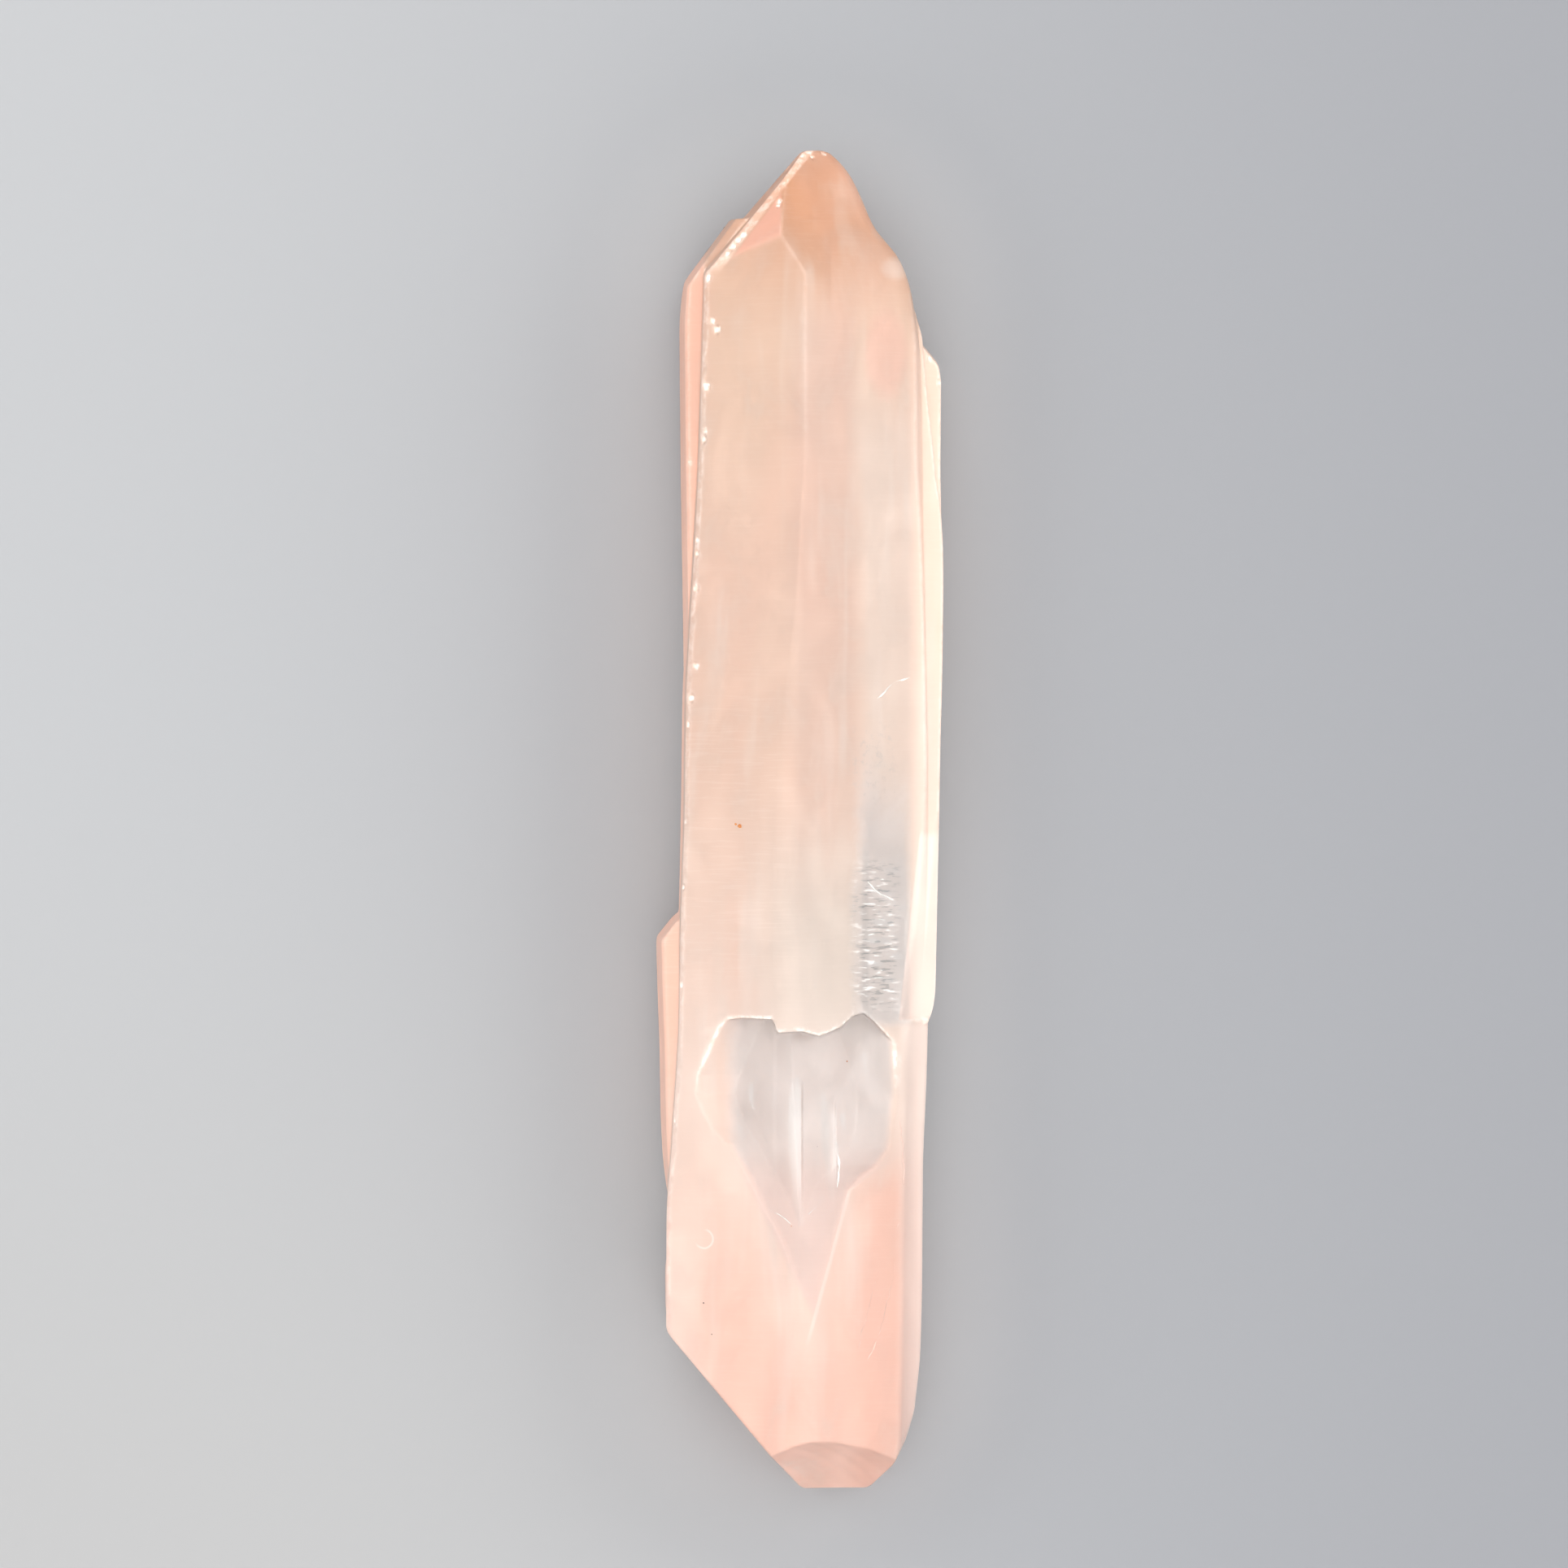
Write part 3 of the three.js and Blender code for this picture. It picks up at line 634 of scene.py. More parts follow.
pts = np.empty(len(skin.vertices) * 3)
skin.vertices.foreach_get("co", pts)
pts = pts.reshape(-1, 3) / MM
# how sharply the surface turns: the edges painted light, partly as wear and partly as painted highlight
e = 0.12
lap = -6 * trilinear(field, pts)
for ax in range(3):
    for sg in (-e, e):
        lap = lap + trilinear(field, pts + np.eye(3)[ax] * sg)
turn = lap / (e * e)
print("turn", np.percentile(turn, [1, 5, 25, 50, 75, 90, 95, 99]).round(2))
point_values(skin, "edge", np.clip((turn - 0.35) / 2.2, 0, 1))
fresh = np.zeros(len(pts))
for c, r in CHIPS:
    d = np.linalg.norm((pts - np.array(c)) / r, axis=1)
    fresh = np.maximum(fresh, np.clip((1.12 - d) / 0.15, 0, 1))
point_values(skin, "fresh", fresh)
in_scar = trilinear(SCAR, pts)
point_values(skin, "scar", np.clip((in_scar + 0.10) / 0.08, 0, 1) * (pts[:, 2] > 5))

# the worn strip along the front left edge, painted light partly as wear and partly as painted highlight, and the steep
# flanks left of it
fx = front_left_x(pts[:, 1])
away = np.hypot(pts[:, 0] - fx, pts[:, 2] - face_height(fx, pts[:, 1]))
point_values(skin, "strip_wear_and_glint", np.clip((0.36 - away) / 0.14, 0, 1) * (pts[:, 1] < 33.4))
point_values(skin, "flank", np.clip((fx - pts[:, 0] - 0.04) / 0.12, 0, 1))

# how far the scar's floor lies under the faces it was broken from, its rim, and which way the surface looks
sunk = np.clip(face_height(pts[:, 0], pts[:, 1]) - pts[:, 2], 0, 3)
lip = np.clip(1 - np.maximum((sunk - 0.02) / 0.14, -in_scar / 0.26), 0, 1) * np.clip((pts[:, 1] + 16.5) / 2.5, 0, 1) * (pts[:, 2] > 5)
point_values(skin, "lip", lip)
point_values(skin, "sunk", sunk)
point_values(skin, "halo", np.clip((in_scar + 2.2) / 2.2, 0, 1) * (pts[:, 2] > 5))
point_values(skin, "up", np.clip(gradient_at(field, pts)[:, 2], 0, 1))

qm = new_material("quartz")
t = qm.node_tree
out = node(t, "ShaderNodeOutputMaterial")
vec, (px, py, pz) = position(t)


def attribute(name):
    a = node(t, "ShaderNodeAttribute", attribute_type="GEOMETRY", attribute_name=name)
    return Val(t, a.outputs["Fac"])


edge, chips_and_glints, scar = attribute("edge"), attribute("fresh"), attribute("scar")
strip_wear_and_glint, left, lip, halo = attribute("strip_wear_and_glint"), attribute("flank"), attribute("lip"), attribute("halo")
sunk, up = attribute("sunk"), attribute("up")
wide = noise(t, vec, (0.28, 0.05, 0.2), (3.1, 1.7, 0.4), 1.0, 0.5)       # long soft veils
streak = noise(t, vec, (0.55, 0.075, 0.35), (9.2, 4.4, 2.0), 2.0, 0.55, 0.25)       # finer upright streaks
cloud = noise(t, vec, (0.35, 0.22, 0.3), (5.5, 8.1, 3.3), 3.0, 0.6, 0.4)  # cloudy patches
grain = noise(t, vec, (2.4, 2.1, 2.4), (1.5, 6.1, 2.3), 3.0, 0.65)
lines = noise(t, vec, (0.3, 6.6, 0.6), (0.5, 2.1, 7.3), 2.0, 0.6)        # growth lines across the faces
dash = noise(t, vec, (0.95, 6.4, 0.8), (4.1, 0.7, 6.2), 2.0, 0.6)           # short level dashes
warp = (cloud - 0.5) * 2.2 + (grain - 0.5) * 0.5

tip = (py + warp * 1.2).soft(27.5, 37.0) * (px + (py - 34.0) * 0.3).soft(-4.6, 1.2, 0.5, 1.0)
upper = (py + warp * 1.5).soft(12, 31)
low = (py + warp * 1.5).soft(6, -16)
base = (py + warp * 1.5).soft(-18, -36)
cream = ((px - 3.3) + (py - 19.9) * 0.023 + warp * 0.3).soft(-0.7, 0.8) * (py + warp).soft(29, 21, 0.15, 1.0) * (py + warp).soft(-22, -13, 0.35, 1.0)
# painted light: the band along the right edge is painted paler where light from the right comes through it
painted_light_right_band = (px + warp * 0.1).soft(6.3, 7.6) * py.soft(31, 27)
middle = (px + warp * 0.5).soft(-1.3, 0.6) * (px + warp * 0.4).soft(4.0, 2.8) * (py + warp).soft(33, 28)

# where the quartz is clear: the window at the right and the floor of the scar
win = (px + warp * 0.9).soft(2.9, 4.3) * (px + warp * 0.25).soft(6.9, 6.2) * (py + warp * 2.2 + (px - 4.0) * 0.8).soft(6.0, -1.5) * (py + warp * 0.1).soft(-12.6, -11.8)
vl = px - (py + 16.4) * -0.503 + 5.75          # right of the V's left line
vr = (py + 22.05) * 0.276 + (py + 22.05).math("MAXIMUM", 0.0) * 1.28 + 3.0 - px  # left of its right line, which bends
vee = vl.soft(-0.25, 0.35) * (vr + warp * 0.1).soft(-0.2, 0.3)
bare = scar * vee * (sunk + warp * 0.08).soft(0.02, 0.40) * (px + warp * 0.5).soft(-4.7, -3.0)
fade = py.soft(-25, -16)
clear = (win.most(bare * (fade * 0.6 + 0.3)) + (streak - 0.55).soft(0.0, 0.25) * 0.15 * (1.0 - tip)).clip()

# the edges painted white, partly as wear and partly as painted highlight where they catch the light: the left ones, the
# rim of the scar, the left of the point
worn_and_glint = px.soft(-4.6, -5.6) * py.soft(2, 14, 0.10, 0.22)
worn_and_glint = worn_and_glint.most(lip * grain.soft(0.4, 0.6) * 0.6)
worn_and_glint = worn_and_glint.most(px.soft(6.0, 7.0) * 0.3)
worn_and_glint = worn_and_glint.most((px + 0.3).math("ABSOLUTE").soft(1.3, 0.6) * py.soft(20, 30) * 0.10)
worn_and_glint = worn_and_glint * grain.soft(0.3, 0.62, 0.15, 1.0)
wear = (edge * worn_and_glint).clip()
# painted highlight on the narrow face down the left of the point, and the small pink face beside it
slant = (px - 0.12) * 0.8 - (py - 39.76) * 0.6
rhomb_highlight = (slant + warp * 0.04).soft(0.56, 0.34) * slant.soft(-0.45, -0.25) * py.soft(32.4, 33.4) * up.soft(0.1, 0.3)
pink = slant.soft(0.4, 0.62) * (px + 0.95).soft(0.0, -0.25) * (py - (px + 1.1) * 0.4 - 34.6 + warp * 0.1).soft(-0.25, 0.35)
patch = ((px - 5.8) * (px - 5.8) + (py - 32.9) * (py - 32.9) * 1.6 + warp * 0.3).soft(1.3, 0.0)
blush = ((px - 5.2) * (px - 5.2) * 0.45 + (py - 27.7) * (py - 27.7) * 0.11 + warp * 0.15).soft(1.1, 0.2)
vline = (vr + warp * 0.06).math("ABSOLUTE").soft(0.17, 0.04) * py.soft(-31.5, -30.0) * py.soft(-21.4, -22.4)
# painted highlight on the two blades in the scar, where their ridges catch the light: sharp on their right, fading to
# the left
blade_highlight = px.soft(-0.85, 0.1) * px.soft(0.17, 0.11) * py.soft(-24.3, -20.5) * py.soft(-15.3, -16.3)
blade_highlight = blade_highlight.most((px + (py + 18.5) * 0.02).soft(1.35, 2.05) * px.soft(2.26, 2.2) * py.soft(-23.0, -20.5) * (py + px * 1.2).soft(-14.2, -15.4))

tone = blend(t, (0.765, 0.54, 0.43), (0.855, 0.655, 0.562), low)
tone = blend(t, tone, (0.765, 0.535, 0.405), upper)
tone = blend(t, tone, (0.95, 0.61, 0.505), base)
tone = blend(t, tone, (0.69, 0.505, 0.42), middle * 0.8 * (1.0 - low * 0.85))
tone = blend(t, tone, (0.69, 0.33, 0.178), tip * 0.95)
tone = blend(t, tone, (0.90, 0.46, 0.345), pink * 0.75)
tone = blend(t, tone, (0.77, 0.63, 0.545), cream * 0.85)
tone = blend(t, tone, (0.83, 0.485, 0.39), px.soft(2.5, 4.5) * py.soft(-18, -23) * 0.75)
tone = blend(t, tone, (1.0, 0.79, 0.70), px.soft(-5.2, -7.4) * py.soft(-22, -28) * 0.55)
tone = blend(t, tone, (0.93, 0.66, 0.53), painted_light_right_band * py.soft(2, 12) * 0.85)
tone = blend(t, tone, (0.90, 0.675, 0.565), painted_light_right_band * py.soft(12, 2) * py.soft(-24, -12, 0.3, 1.0) * 0.85)
tone = blend(t, tone, (0.96, 0.57, 0.435), left * (1.0 - tip * 0.5) * 0.9)
tone = blend(t, tone, (0.80, 0.45, 0.33), left * py.soft(12, 24) * 0.75)
tone = blend(t, tone, (0.85, 0.49, 0.40), blush * 0.5)
tone = blend(t, tone, (0.92, 0.80, 0.72), patch * 0.45)
tone = blend(t, tone, (0.80, 0.47, 0.36), (wide.soft(0.42, 0.72) * 0.34 * (1.0 - cream * 0.6)))
tone = blend(t, tone, (0.90, 0.78, 0.69), (streak.soft(0.48, 0.78) * 0.28 + cloud.soft(0.5, 0.75) * 0.22 * (1.0 - tip * 0.6)))
greyed = (px + warp * 0.5).soft(-4.2, 0.5) * (px + warp * 0.3).soft(5.2, 3.8) * (py + warp * 1.5).soft(3.0, -7.0) * py.soft(-14.0, -12.2)
tone = blend(t, tone, (0.715, 0.62, 0.55), greyed * 0.9)
tone = blend(t, tone, (0.84, 0.70, 0.625), halo * (1.0 - scar) * 0.3)
tone = blend(t, tone, (0.95, 0.90, 0.88), clear * 0.85)
bare_t = bare * px.soft(5.9, 4.2)
tone = blend(t, tone, (0.90, 0.84, 0.815), bare_t * fade * 0.7)
vlow = vee * (py + warp * 0.4).soft(-19.0, -22.5) * (py + warp * 0.4).soft(-31.4, -28.5)
tone = blend(t, tone, (0.78, 0.60, 0.55), vlow * 0.7)
# painted light: the lower right edge strip is painted paler against the shade it falls in
tone = blend(t, tone, (1.0, 0.83, 0.755), (px + warp * 0.1).soft(5.6, 6.6) * py.soft(-11.9, -12.6) * 0.6)
fine = px.soft(0.4, -1.8) * py.soft(9.5, 4.5) * py.soft(-12.0, -6.0)
tone = blend(t, tone, (1.0, 0.86, 0.78), (lines.soft(0.5, 0.66) * (fine * 0.09 + 0.04)).clip())
# the window's dashes, the painted shade along its left side and the smudges above it
zone = win * py.soft(-1.8, -3.4) * py.soft(-12.0, -10.4) * px.soft(6.3, 5.4)
smudge = win.most((px + warp).soft(2.9, 3.8) * px.soft(6.2, 5.2)) * py.soft(0.2, 2.0) * py.soft(6.5, 4.2) * grain.soft(0.5, 0.68)
shade = (px + warp * 0.15 - 3.95).math("ABSOLUTE").soft(0.34, 0.05) * py.soft(-12.2, -10.5) * py.soft(-0.5, -3.0)
tone = blend(t, tone, (0.43, 0.44, 0.44), (zone * dash.soft(0.44, 0.35) * 0.75 + smudge * 0.25 + shade * 0.26).clip())
tone = blend(t, tone, (1.0, 0.98, 0.955), (zone * dash.soft(0.575, 0.66) * 0.85).clip())
tone = blend(t, tone, (1.0, 0.97, 0.95), blade_highlight * blade_highlight * 0.32)
lumps = (px + 2.3).math("ABSOLUTE").soft(1.15, 0.7).most((px - 3.9).math("ABSOLUTE").soft(1.1, 0.6)) * py.soft(-12.6, -12.2) * (grain + warp * 0.1).soft(0.36, 0.5)
wedge = ((px - 7.24) - (py + 0.83) * 0.115).soft(-0.08, 0.06) * py.soft(-0.6, -1.2) * py.soft(-12.1, -11.9)
tone = blend(t, tone, (0.92, 0.735, 0.655), wedge * 0.7)
ring = (((px + 5.68) * (px + 5.68) + (py + 25.0) * (py + 25.0)).math("SQRT") + warp * 0.06 - 0.55).math("ABSOLUTE").soft(0.09, 0.02) * (px - py * 0.6 - 9.2).soft(-0.3, 0.2)
tone = blend(t, tone, (1.0, 0.90, 0.84), ring * 0.6)
# painted highlight along the scar's rim, where its steep edge catches the light, with white lumps on it
tone = blend(t, tone, (1.0, 0.93, 0.885), (lip * (grain.soft(0.42, 0.58) * 0.75 + 0.10) * px.soft(-4.2, -3.2, 0.15, 1.0)).most(lip * lumps * 0.85))
# painted highlight on the narrow face left of the point and along the front left edge, with the pale line down the scar
tone = blend(t, tone, (1.0, 0.85, 0.78), (rhomb_highlight * (grain.soft(0.42, 0.62) * 0.35 + 0.16) + vline * 0.45 + strip_wear_and_glint * (grain.soft(0.42, 0.64) * 0.30 + 0.06)).clip())
# painted highlight and wear: the sharply turning edges painted near white
tone = blend(t, tone, (1.0, 0.95, 0.90), wear)
# fresh chips painted near white, partly their own white and partly painted glint
tone = blend(t, tone, (1.0, 0.95, 0.91), chips_and_glints * grain.soft(0.36, 0.56, 0.15, 0.8))

bright = (zone * dash.soft(0.575, 0.66)).most(blade_highlight * blade_highlight * 0.4)
rough = (0.43 + (grain - 0.5) * 0.18 + (lines - 0.5) * 0.10 - win.most(bare) * 0.10 + wear * 0.12 + chips_and_glints * 0.15).math("MAXIMUM", 0.045)
trans = (0.42 + (cloud - 0.5) * 0.30 + clear * 0.24 - left * 0.2 - painted_light_right_band * 0.2 - rhomb_highlight * 0.25 - pink * 0.1 - strip_wear_and_glint * 0.1 - bright * 0.3 - wedge * 0.12 - lip * 0.15 - wear * 0.35 - chips_and_glints * 0.45 - tip * 0.05).clip()

h = (streak * 0.02) + lines * 0.018 * (fine * 0.4 + 0.3) * (1.0 - bare) + dash * zone * 0.012 + grain * 0.010 + cloud * 0.03
bump = node(t, "ShaderNodeBump", inputs={"Strength": 0.55, "Distance": 0.001})
t.links.new(h.socket, bump.inputs["Height"])

bsdf = node(t, "ShaderNodeBsdfPrincipled", inputs={
    "IOR": 1.54,
})
t.links.new(tone, bsdf.inputs["Base Color"])
t.links.new(rough.socket, bsdf.inputs["Roughness"])
t.links.new(trans.socket, bsdf.inputs["Transmission Weight"])
t.links.new(bump.outputs["Normal"], bsdf.inputs["Normal"])
t.links.new(bsdf.outputs["BSDF"], out.inputs["Surface"])
absorb = node(t, "ShaderNodeVolumeAbsorption", inputs={"Color": (1.0, 0.84, 0.76, 1), "Density": 9.0})
t.links.new(absorb.outputs["Volume"], out.inputs["Volume"])
skin.materials.append(qm)


# --------------------------------------------------------------------------
# what is sealed in the quartz: healed cracks, blades, flakes and specks
# --------------------------------------------------------------------------
import random

rnd = random.Random(7)


def surface_z(x, y):
    """Height of the crystal's upper surface over (x, y), mm."""
    z = np.arange(13.6, 0.4, -0.06)
    f = trilinear(field, np.stack([np.full_like(z, x), np.full_like(z, y), z], 1))
    k = np.argmax(f < 0)
    return float(z[k]) if f[k] < 0 else 0.0


class Shards:
    """Thin closed flakes gathered into one mesh."""

    def __init__(self):
        self.v, self.f = [], []

    def flake(self, outline, thick, normal):
        """A lens over a closed outline of 3-D points (mm), thickest in its middle."""
        o = np.array(outline, float)
        n = np.array(normal, float)
        n /= np.linalg.norm(n)
        c = o.mean(0)
        k, b = len(o), len(self.v)
        inner = c + (o - c) * 0.55
        self.v += [*o, *(inner + n * thick * 0.38), *(inner - n * thick * 0.38), c + n * thick * 0.5, c - n * thick * 0.5]
        for i in range(k):
            j = (i + 1) % k
            self.f += [(b + i, b + j, b + k + j, b + k + i), (b + j, b + i, b + 2 * k + i, b + 2 * k + j),
                       (b + k + i, b + k + j, b + 3 * k), (b + 2 * k + j, b + 2 * k + i, b + 3 * k + 1)]

    def ribbon(self, path, width, thick, tilt=(0, 0, 1), wob=0.0):
        """A thin strip along path; width is a number or one for each point, and it
        runs in the direction tilt."""
        p = np.array(path, float)
        w = np.broadcast_to(np.array(width, float), (len(p),))
        d = np.gradient(p, axis=0)
        d /= np.maximum(np.linalg.norm(d, axis=1, keepdims=True), 1e-9)
        tl = np.array(tilt, float)
        across = tl - d * (d @ tl)[:, None]
        across /= np.maximum(np.linalg.norm(across, axis=1, keepdims=True), 1e-9)
        n = np.cross(d, across)
        b = len(self.v)
        for i in range(len(p)):
            s = across[i] * w[i] * 0.5
            t_ = n[i] * thick * 0.5 * (0.35 if i in (0, len(p) - 1) else 1)
            self.v += [p[i] - s * (1 + wob * rnd.uniform(-1, 1)), p[i] + s * 0.8 + t_, p[i] + s, p[i] + s * 0.8 - t_]
        for i in range(len(p) - 1):
            for j in range(4):
                k = (j + 1) % 4
                a0, a1, c0, c1 = b + 4 * i + j, b + 4 * i + k, b + 4 * i + 4 + j, b + 4 * i + 4 + k
                self.f.append((a0, c0, c1, a1))
        self.f.append((b, b + 1, b + 2, b + 3))
        e_ = b + 4 * (len(p) - 1)
        self.f.append((e_ + 3, e_ + 2, e_ + 1, e_))

    def grain(self, c, r, squash=(1, 1, 1), rough=0.25):
        """A small irregular grain."""
        g = (1 + 5 ** 0.5) / 2
        ico = np.array([(-1, g, 0), (1, g, 0), (-1, -g, 0), (1, -g, 0), (0, -1, g), (0, 1, g), (0, -1, -g), (0, 1, -g), (g, 0, -1), (g, 0, 1), (-g, 0, -1), (-g, 0, 1)], float)
        ico /= np.linalg.norm(ico[0])
        tri = [(0, 11, 5), (0, 5, 1), (0, 1, 7), (0, 7, 10), (0, 10, 11), (1, 5, 9), (5, 11, 4), (11, 10, 2), (10, 7, 6), (7, 1, 8), (3, 9, 4), (3, 4, 2), (3, 2, 6), (3, 6, 8), (3, 8, 9), (4, 9, 5), (2, 4, 11), (6, 2, 10), (8, 6, 7), (9, 8, 1)]
        b = len(self.v)
        for q in ico:
            self.v.append(np.array(c) + q * r * np.array(squash) * (1 + rough * rnd.uniform(-1, 1)))
        self.f += [tuple(b + i for i in q) for q in tri]

    def build(self, name, material, smooth=True):
        v = np.array(self.v)
        for _ in range(2):  # the pieces are pulled back until they stand at most 0.025 mm out of the quartz
            v = v - gradient_at(field, v) * np.maximum(trilinear(field, v) - 0.025, 0)[:, None]
        me = bpy.data.meshes.new(name)
        me.from_pydata((v * MM).tolist(), [], self.f)
        me.validate()
        import bmesh

        bm = bmesh.new()
        bm.from_mesh(me)
        bmesh.ops.recalc_face_normals(bm, faces=bm.faces)
        bm.to_mesh(me)
        bm.free()
        if smooth:
            me.shade_smooth()
        ob = bpy.data.objects.new(name, me)
        scene.collection.objects.link(ob)
        me.materials.append(material)
        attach(ob, "root")
        return ob


def under(u, v, depth):
    """A point depth mm below the surface, under a place on the picture."""
    x, y, _ = at(u, v)
    return np.array((x, y, surface_z(x, y) - depth))


def crack_material(name, colour, see, roughness=0.35):
    m = new_material(name)
    tr = m.node_tree
    o = node(tr, "ShaderNodeOutputMaterial")
    vc, _ = position(tr)
    g1 = noise(tr, vc, (2.2, 1.6, 2.2), (2, 5, 1), 4.0, 0.6)
    g2 = noise(tr, vc, (6.0, 5.0, 6.0), (1, 3, 8), 2.0, 0.6)
    b = node(tr, "ShaderNodeBsdfPrincipled", inputs={"IOR": 1.2})
    col = blend(tr, tuple(colour), tuple(0.86 * c for c in colour), g1.soft(0.4, 0.7))
    tr.links.new(col, b.inputs["Base Color"])
    tr.links.new((g2 * 0.3 + roughness - 0.15).socket, b.inputs["Roughness"])
    tr.links.new((g1.soft(0.35, 0.65) * 0.35 + see - 0.17).clip().socket, b.inputs["Transmission Weight"])
    bp = node(tr, "ShaderNodeBump", inputs={"Strength": 0.6, "Distance": 0.001})
    tr.links.new((g2 * 0.05).socket, bp.inputs["Height"])
    tr.links.new(bp.outputs["Normal"], b.inputs["Normal"])
    tr.links.new(b.outputs["BSDF"], o.inputs["Surface"])
    return m


white = crack_material("crack_white", (0.97, 0.95, 0.92), 0.25)
blush = crack_material("crack_blush", (0.96, 0.72, 0.64), 0.35)
dim = crack_material("shade_grey", (0.62, 0.62, 0.62), 0.45)

# blades under the floor of the scar
blades = Shards()
for top, low, half, d, lean in (((978, 1320), (984, 1503), 9, 0.5, 0.8), ((1010, 1342), (1022, 1475), 10, 0.5, 0.9), ((1034, 1366), (1036, 1388), 4, 0.3, 0.4), ((925, 1330), (928, 1362), 3.5, 0.4, 0.5), ((908, 1380), (911, 1400), 3, 0.4, 0.5), ((1061, 1290), (1063, 1318), 3, 0.3, 0.4)):
    a_, b_ = under(*top, d), under(*low, d + 0.35)
    k = 9
    left_, right_ = [], []
    for i in range(k):
        s = i / (k - 1)
        c = a_ + (b_ - a_) * s
        w = half / 20.5 * math.sin(math.pi * (0.04 + 0.93 * s ** 0.8)) ** 0.7
        right_.append(c + np.array((0.06 * math.sin(7 * s), 0, 0.0)) + np.array((0.12, 0, 0.0)))
        left_.append(c - np.array((w * (0.9 + 0.2 * rnd.random()), 0, lean * w)))
    blades.flake(right_ + left_[::-1], 0.07, (-lean, 0.05, 1))
blades.build("inner_blades", white, smooth=False)

# healed cracks: thin upright sheets, seen nearly edge on
sheets = Shards()


def crack(points, depth, height, thick, tilt=(0.35, 0, 1), ragged=0.35, step=7):
    path = []
    for (u0, v0), (u1, v1) in zip(points[:-1], points[1:]):
        n = max(1, int(math.hypot(u1 - u0, v1 - v0) / step))
        for i in range(n):
            s = i / n
            path.append(under(u0 + (u1 - u0) * s + rnd.uniform(-1, 1) * 1.2, v0 + (v1 - v0) * s, depth))
    path.append(under(*points[-1], depth))
    k = len(path)
    w = [height * (0.25 + 0.75 * math.sin(math.pi * (i + 0.5) / k)) for i in range(k)]
    down = np.array([0, 0, 1.0])
    path = [p - down * w[i] * 0.5 for i, p in enumerate(path)]
    sheets.ribbon(path, w, thick, tilt, ragged)


crack([(1028, 1400), (1029, 1433), (1028, 1457)], -0.035, 0.7, 0.165)
crack([(943, 1481), (958, 1490), (973, 1501)], -0.035, 0.8, 0.132)
crack([(1013, 1464), (1003, 1478), (992, 1489)], -0.035, 0.8, 0.132)
crack([(1117.5, 835), (1100, 842), (1088, 850), (1077, 862)], -0.035, 0.9, 0.165, (0.2, 0.5, 1))
crack([(1064, 1083), (1070, 1094), (1077, 1102), (1088, 1106), (1099, 1110)], -0.02, 1.0, 0.2, (0.4, 0.6, 1), 0.6)
crack([(1131, 1041), (1126, 1056), (1121, 1091), (1117, 1140), (1117, 1177), (1115, 1225), (1103, 1246)], -0.035, 1.2, 0.165, (-0.5, 0, 1))
crack([(895, 1248), (874, 1288), (857, 1318), (852, 1342)], -0.01, 0.3, 0.05, (-0.15, 0.1, 1))
crack([(908, 1266), (897, 1281), (887, 1296)], -0.01, 0.3, 0.05, (-0.15, 0.1, 1))
sheets.build("inner_cracks", white, smooth=False)
sheets = Shards()
crack([(1103, 1350), (1107, 1409), (1111, 1457)], -0.01, 0.6, 0.08)
crack([(1107, 1495), (1099, 1511), (1092, 1530), (1099, 1543), (1096, 1570), (1088, 1597), (1083, 1620), (1072, 1655), (1064, 1671)], -0.01, 0.6, 0.08)
crack([(1075, 1571), (1059, 1625), (1053, 1654)], -0.01, 0.6, 0.08)
sheets.build("inner_cracks_low", blush, smooth=False)

# short level flakes in the clear window at the right; the dark grey ones are painted shade
dashes, shades = Shards(), Shards()
for u, v, length in ((1080, 1130, 24), (1076, 1174, 18), (1082, 1192, 22), (1078, 1201, 16), (1070, 1148, 12), (1092, 1160, 14), (1066, 1215, 14), (1088, 1216, 12), (1083, 1081, 12), (1100, 1137, 12)):
    c = under(u, v, 0.04)
    l = length / 20.5 * 0.5
    dashes.ribbon([c + np.array((s * l, 0.03 * rnd.uniform(-1, 1), -0.6 * s * l)) for s in (-1, -0.5, 0, 0.5, 1)], [0.03, 0.12, 0.17, 0.12, 0.03], 0.07, (0, 0.45, 1), 0.2)
for u, v, length in ((1096, 1071, 16), (1088, 1098, 14), (1109, 1116, 12), (1085, 1133, 22), (1080, 1155, 26), (1104, 1174, 16), (1068, 924, 14), (1085, 942, 18), (1060, 965, 12), (1074, 1184, 20), (1090, 1204, 16)):
    c = under(u, v, rnd.uniform(0.02, 0.12))
    l = length / 20.5 * 0.5
    shades.flake([c + np.array((l * 1.25 * math.cos(q), 0.2 * math.sin(q) * rnd.uniform(0.6, 1.2), -0.655 * 1.25 * l * math.cos(q))) for q in np.arange(0, 6.28, 0.7)], 0.06, (-0.3, 0.35, 1))
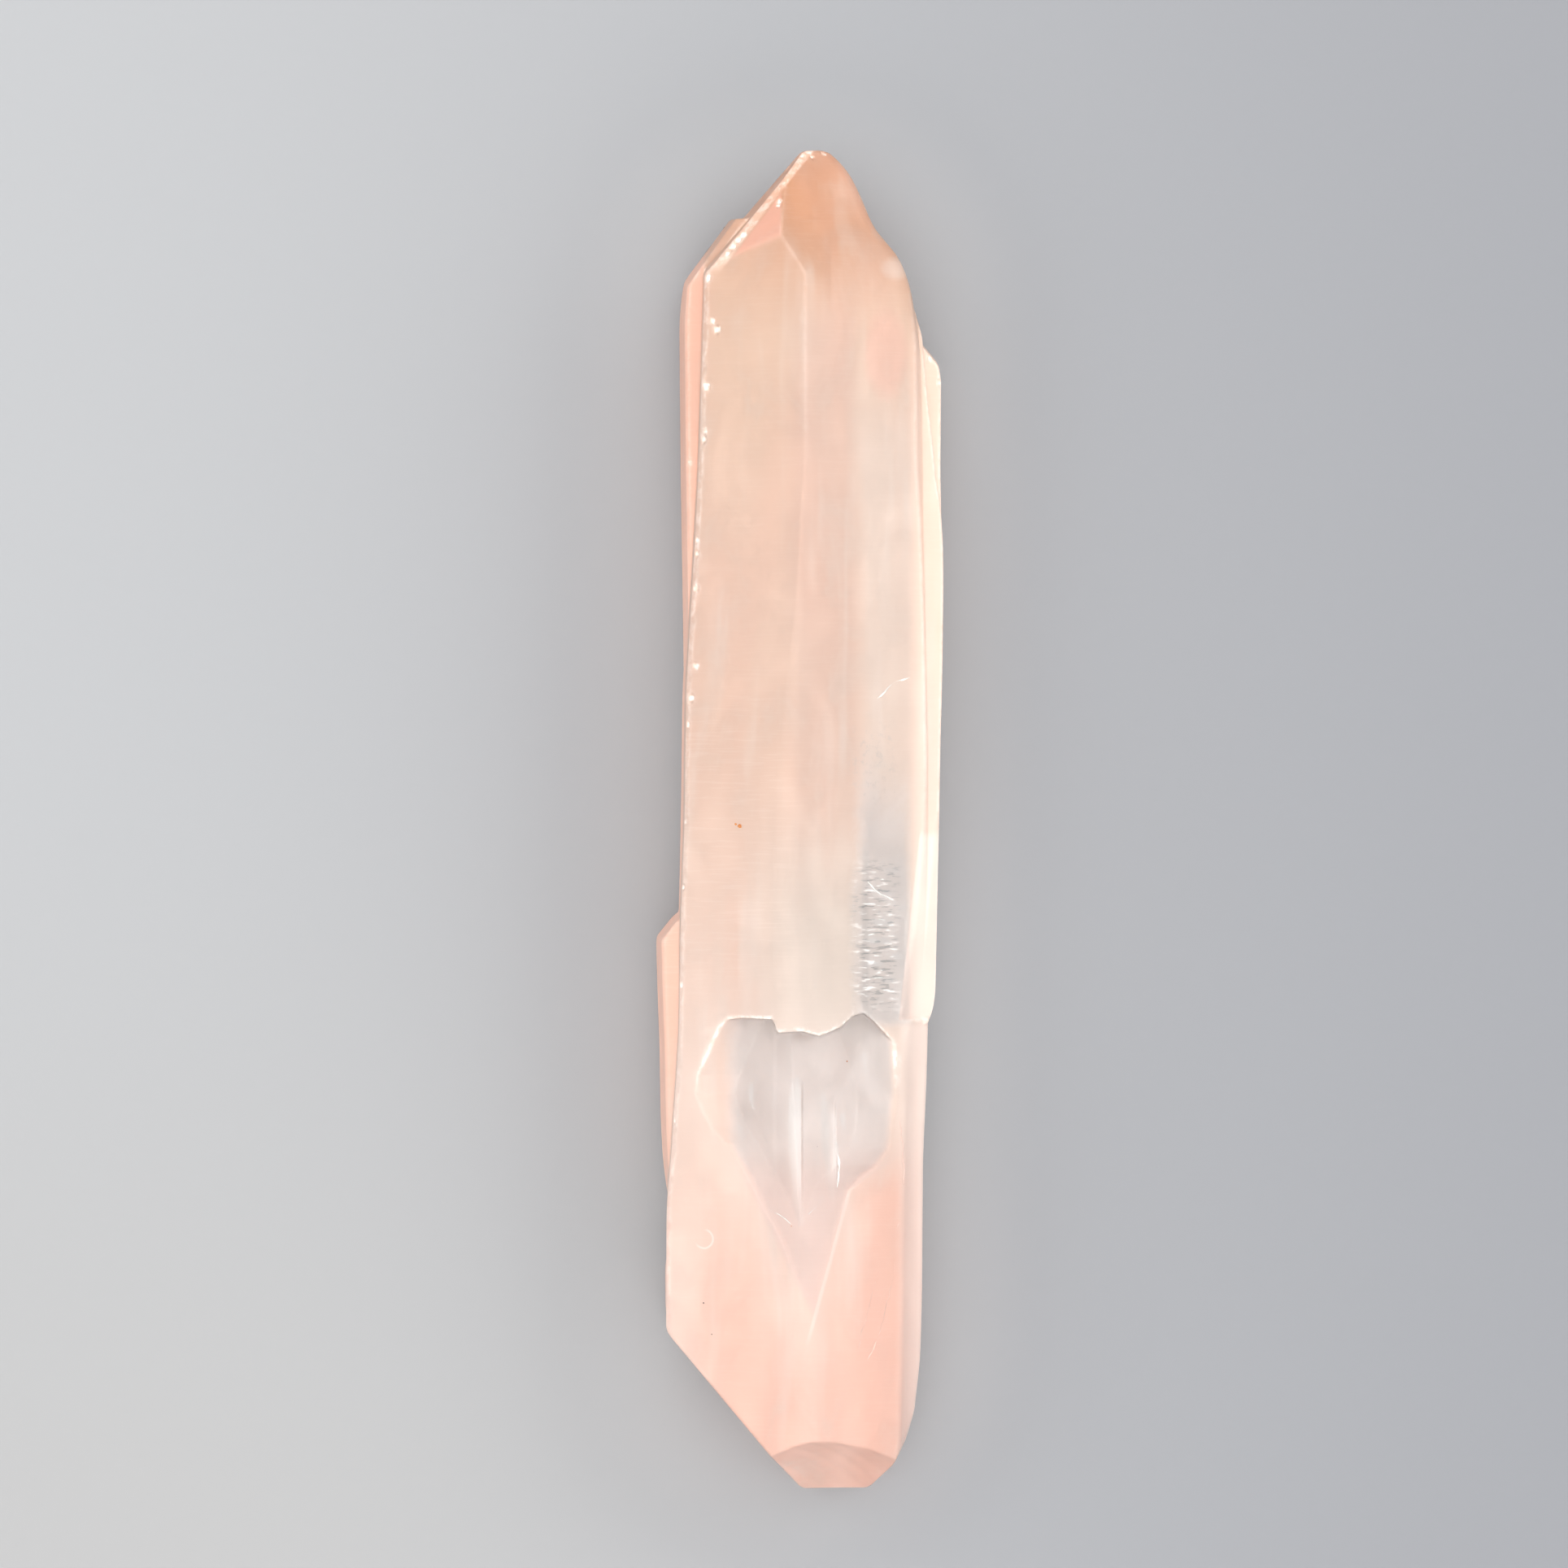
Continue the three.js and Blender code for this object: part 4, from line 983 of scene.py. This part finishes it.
dashes.build("inner_dashes", white, smooth=False)
shades.build("inner_shades", dim, smooth=False)

# specks
rust = new_material("speck_rust")
t = rust.node_tree
o_ = node(t, "ShaderNodeOutputMaterial")
vc, _ = position(t)
b_ = node(t, "ShaderNodeBsdfPrincipled", inputs={"Roughness": 0.6})
t.links.new(blend(t, (0.42, 0.13, 0.03), (0.62, 0.26, 0.08), noise(t, vc, (9, 9, 9), detail=3.0).soft(0.35, 0.65)), b_.inputs["Base Color"])
t.links.new(b_.outputs["BSDF"], o_.inputs["Surface"])
brown = Shards()
for u, v, r, sq in ((911, 1015, 0.17, (1.4, 0.9, 0.6)), (906, 1013, 0.08, (1.5, 0.9, 0.6)), (884, 425, 0.07, (1, 1, 1)), (835, 1433, 0.05, (1, 1, 1)), (973, 1502, 0.05, (1, 1, 1)), (1041, 1303, 0.05, (1, 1, 1))):
    c = under(u, v, 0.02)
    brown.grain(c, r, sq)
brown.build("specks_rust", rust, smooth=False)
dark_m = new_material("speck_dark")
t = dark_m.node_tree
o_ = node(t, "ShaderNodeOutputMaterial")
vc, _ = position(t)
b_ = node(t, "ShaderNodeBsdfPrincipled", inputs={"Roughness": 0.5})
t.links.new(blend(t, (0.05, 0.035, 0.03), (0.16, 0.11, 0.09), noise(t, vc, (9, 9, 9), detail=3.0).soft(0.35, 0.65)), b_.inputs["Base Color"])
t.links.new(b_.outputs["BSDF"], o_.inputs["Surface"])
black = Shards()
for u, v, r in ((890, 277, 0.09), (866, 1598, 0.07), (876, 1636, 0.06), (844, 1157, 0.05)):
    black.grain(under(u, v, 0.02), r)
black.build("specks_dark", dark_m, smooth=False)



scene.cycles.max_bounces = 6
scene.cycles.transmission_bounces = 5
scene.cycles.glossy_bounces = 3
scene.cycles.diffuse_bounces = 2
scene.cycles.volume_bounces = 0
scene.cycles.transparent_max_bounces = 8
scene.cycles.sample_clamp_indirect = 6.0
scene.cycles.blur_glossy = 0.5
scene.cycles.use_denoising = True
scene.cycles.adaptive_threshold = 0.2
